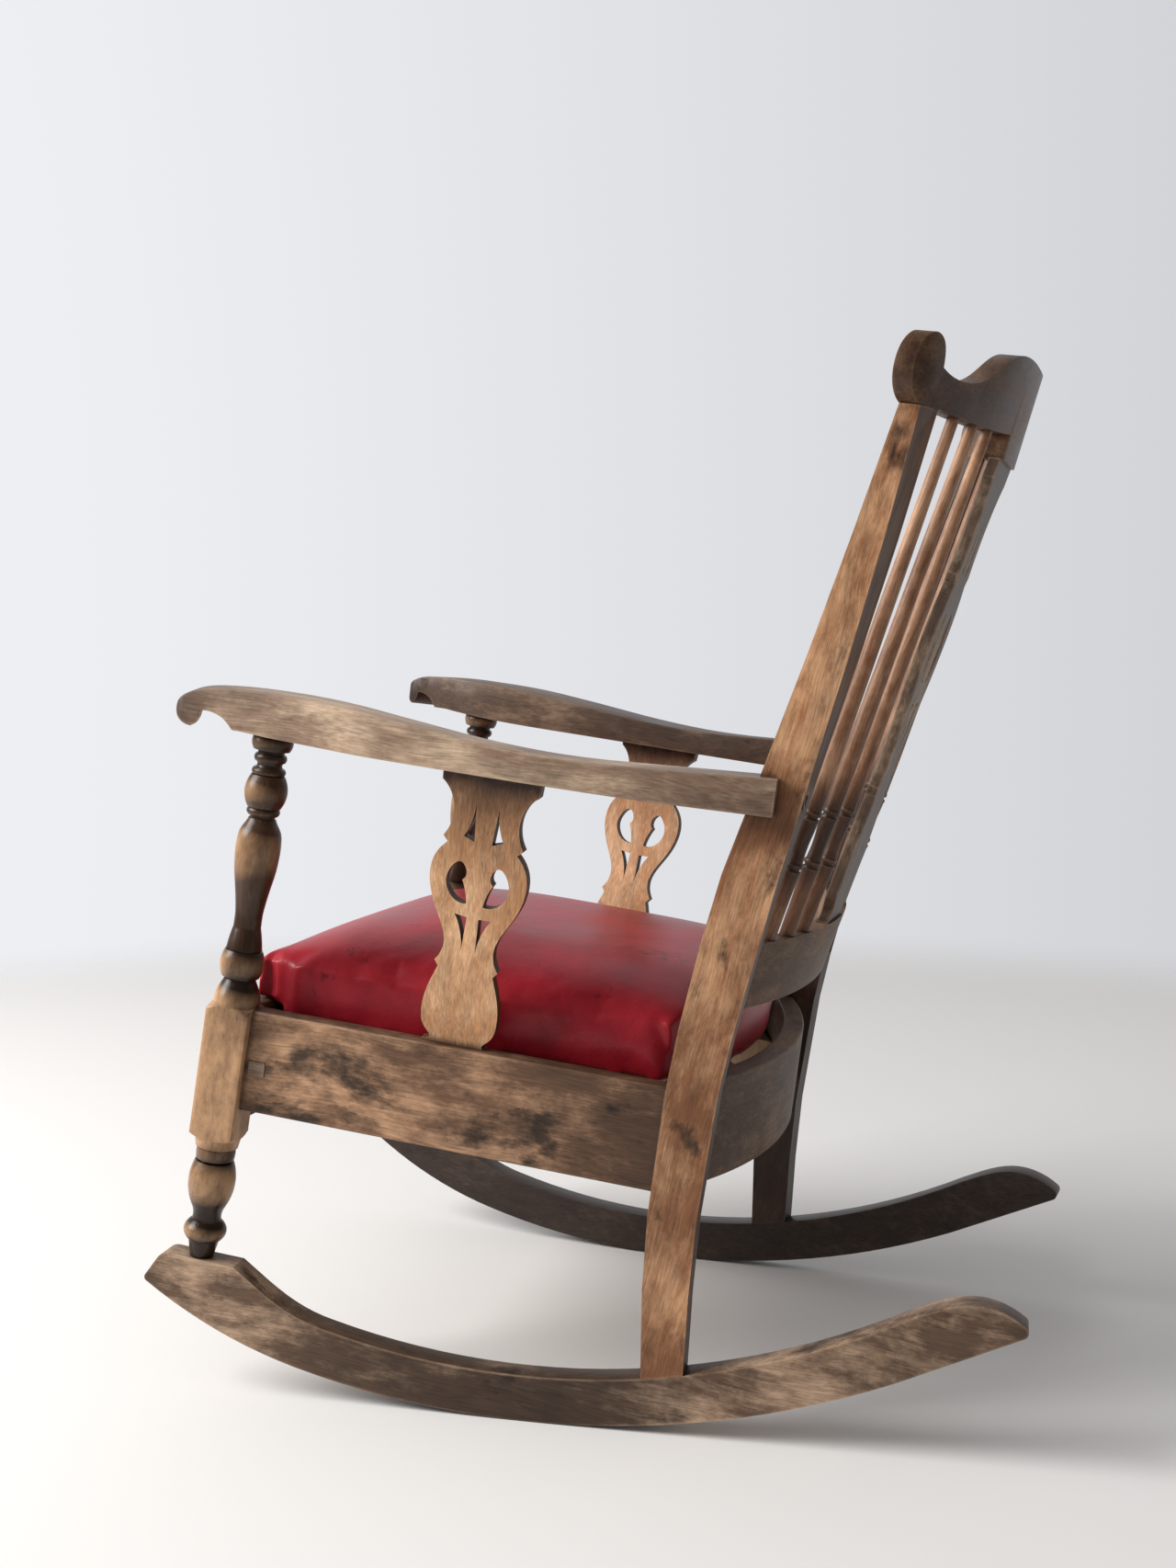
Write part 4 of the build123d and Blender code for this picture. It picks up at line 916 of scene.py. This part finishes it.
def lay_floor(colour, reach):
    """Pale painted floor that fades into the backdrop at its rim."""
    bm = bmesh.new()
    bmesh.ops.create_circle(bm, cap_ends=True, segments=96, radius=reach)
    mesh = bpy.data.meshes.new("floor")
    bm.to_mesh(mesh)
    bm.free()
    floor = link_object("floor", mesh)
    material, tree = new_material("matt_floor_paint")
    place = add(tree, "TexCoord")
    away = add(tree, "VectorMath", {0: place.outputs["Object"]}, operation="LENGTH")
    rim = add(tree, "MapRange", {"Value": away.outputs["Value"], "From Min": reach * FLOOR_FADE[0],
                                 "From Max": reach * FLOOR_FADE[1]},
              interpolation_type="SMOOTHSTEP")
    paint = add(tree, "BsdfPrincipled", {"Base Color": (*colour, 1), "Roughness": 0.75,
                                         "Specular IOR Level": 0.2})
    clear = add(tree, "BsdfTransparent")
    faded = add(tree, "MixShader", {"Fac": rim.outputs[0], 1: paint.outputs[0],
                                    2: clear.outputs[0]})
    add(tree, "OutputMaterial", {"Surface": faded.outputs[0]})
    give_material(floor, material)


def light_world(backdrop):
    """Soft light all round, weaker from behind the chair; the camera, and what shines or is
    clear, sees the backdrop's own colour instead, which darkens a little the same way."""
    world = bpy.data.worlds.new("studio")
    world.use_nodes = True
    bpy.context.scene.world = world
    tree = world.node_tree
    tree.nodes.clear()
    toward = add(tree, "TexCoord")
    apart = add(tree, "SeparateXYZ", {0: toward.outputs["Generated"]})
    soft = add(tree, "MapRange", {"Value": apart.outputs["Y"], "From Min": -1.0,
                                  "From Max": 1.0, "To Min": SKY_AHEAD, "To Max": SKY_BEHIND})
    even = add(tree, "MapRange", {"Value": apart.outputs["Y"], "From Min": -0.55,
                                  "From Max": 0.0, "To Min": 1.0, "To Max": 0.76})
    sky = add(tree, "Background", {"Color": SKY_COLOUR, "Strength": soft.outputs[0]})
    path = add(tree, "LightPath")
    shiny = add(tree, "Math", {0: path.outputs["Is Glossy Ray"],
                               1: path.outputs["Is Transmission Ray"]}, operation="MAXIMUM")
    # What shines sees a dim room on the side away from the backdrop.
    dim = add(tree, "MapRange", {"Value": apart.outputs["X"], "From Min": -0.75,
                                 "From Max": 0.0, "To Max": 0.88})
    lost = add(tree, "Math", {0: dim.outputs[0], 1: shiny.outputs[0]}, operation="MULTIPLY")
    kept = add(tree, "Math", {0: 1.0, 1: lost.outputs[0]}, operation="SUBTRACT")
    strength = add(tree, "Math", {0: even.outputs[0], 1: kept.outputs[0]}, operation="MULTIPLY")
    wall = add(tree, "Background", {"Color": (*backdrop, 1), "Strength": strength.outputs[0]})
    looks = add(tree, "Math", {0: path.outputs["Is Camera Ray"], 1: shiny.outputs[0]},
                operation="MAXIMUM")
    seen = add(tree, "MixShader", {"Fac": looks.outputs[0], 1: sky.outputs[0],
                                   2: wall.outputs[0]})
    add(tree, "OutputWorld", {"Surface": seen.outputs[0]})


def hang_lamp(name, place, aim, size, power, colour):
    data = bpy.data.lights.new(name, "AREA")
    data.shape = "DISK"
    data.size = size
    data.energy = power
    data.color = colour
    lamp = link_object(name, data)
    lamp.matrix_world = turned_to(place, Vector(aim) - Vector(place), "-Z", "Y")


def set_camera():
    data = bpy.data.cameras.new("camera")
    data.sensor_fit = "HORIZONTAL"
    data.sensor_width = 36
    data.lens = LENS
    camera = link_object("camera", data)
    yaw, pitch = radians(CAMERA_YAW), radians(CAMERA_PITCH)
    ahead = Vector((-cos(yaw) * cos(pitch), -sin(yaw) * cos(pitch), -sin(pitch)))
    roll = Matrix.Rotation(radians(CAMERA_ROLL), 4, "Z")
    camera.matrix_world = turned_to(CAMERA_PLACE, ahead, "-Z", "Y") @ roll
    bpy.context.scene.camera = camera
    bpy.context.scene.view_settings.view_transform = "Standard"


class ROCKER_OT_stage(Operator):
    """Floor, backdrop, lamp and camera"""
    bl_idname = "rocker.stage"
    bl_label = "Stage"

    def execute(self, context):
        colours = context.scene.rocker_colours
        lay_floor(tuple(colours.floor), context.scene.rocker_sizes.floor_reach)
        light_world(tuple(colours.backdrop))
        hang_lamp("window_light", LAMP_PLACE, LAMP_AIM, LAMP_SIZE, LAMP_WATTS, LAMP_COLOUR)
        set_camera()
        return {"FINISHED"}


# ------------------------------------------------------------------ panel and running

STEPS = (ROCKER_OT_sawn_wood, ROCKER_OT_fittings, ROCKER_OT_front_legs, ROCKER_OT_back_spindles,
         ROCKER_OT_cushion, ROCKER_OT_stage)


class ROCKER_PT_panel(Panel):
    """Sizes, colours and steps of the rocking chair"""
    bl_idname = "ROCKER_PT_panel"
    bl_label = "Worn rocking chair"
    bl_space_type = "VIEW_3D"
    bl_region_type = "UI"
    bl_category = "Rocker"

    def draw(self, context):
        for settings in (context.scene.rocker_sizes, context.scene.rocker_colours):
            for key in settings.bl_rna.properties.keys():
                if key not in ("rna_type", "name"):
                    self.layout.prop(settings, key)
        for step in STEPS:
            self.layout.operator(step.bl_idname)


CLASSES = (RockerColours, RockerSizes, *STEPS, ROCKER_PT_panel)


def register():
    for kind in CLASSES:
        bpy.utils.register_class(kind)
    bpy.types.Scene.rocker_colours = PointerProperty(type=RockerColours)
    bpy.types.Scene.rocker_sizes = PointerProperty(type=RockerSizes)


def unregister():
    del bpy.types.Scene.rocker_colours
    del bpy.types.Scene.rocker_sizes
    for kind in reversed(CLASSES):
        bpy.utils.unregister_class(kind)


def main():
    register()
    bpy.ops.rocker.sawn_wood()
    bpy.ops.rocker.fittings()
    bpy.ops.rocker.front_legs()
    bpy.ops.rocker.back_spindles()
    bpy.ops.rocker.cushion()
    bpy.ops.rocker.stage()


if __name__ == "__main__":
    main()
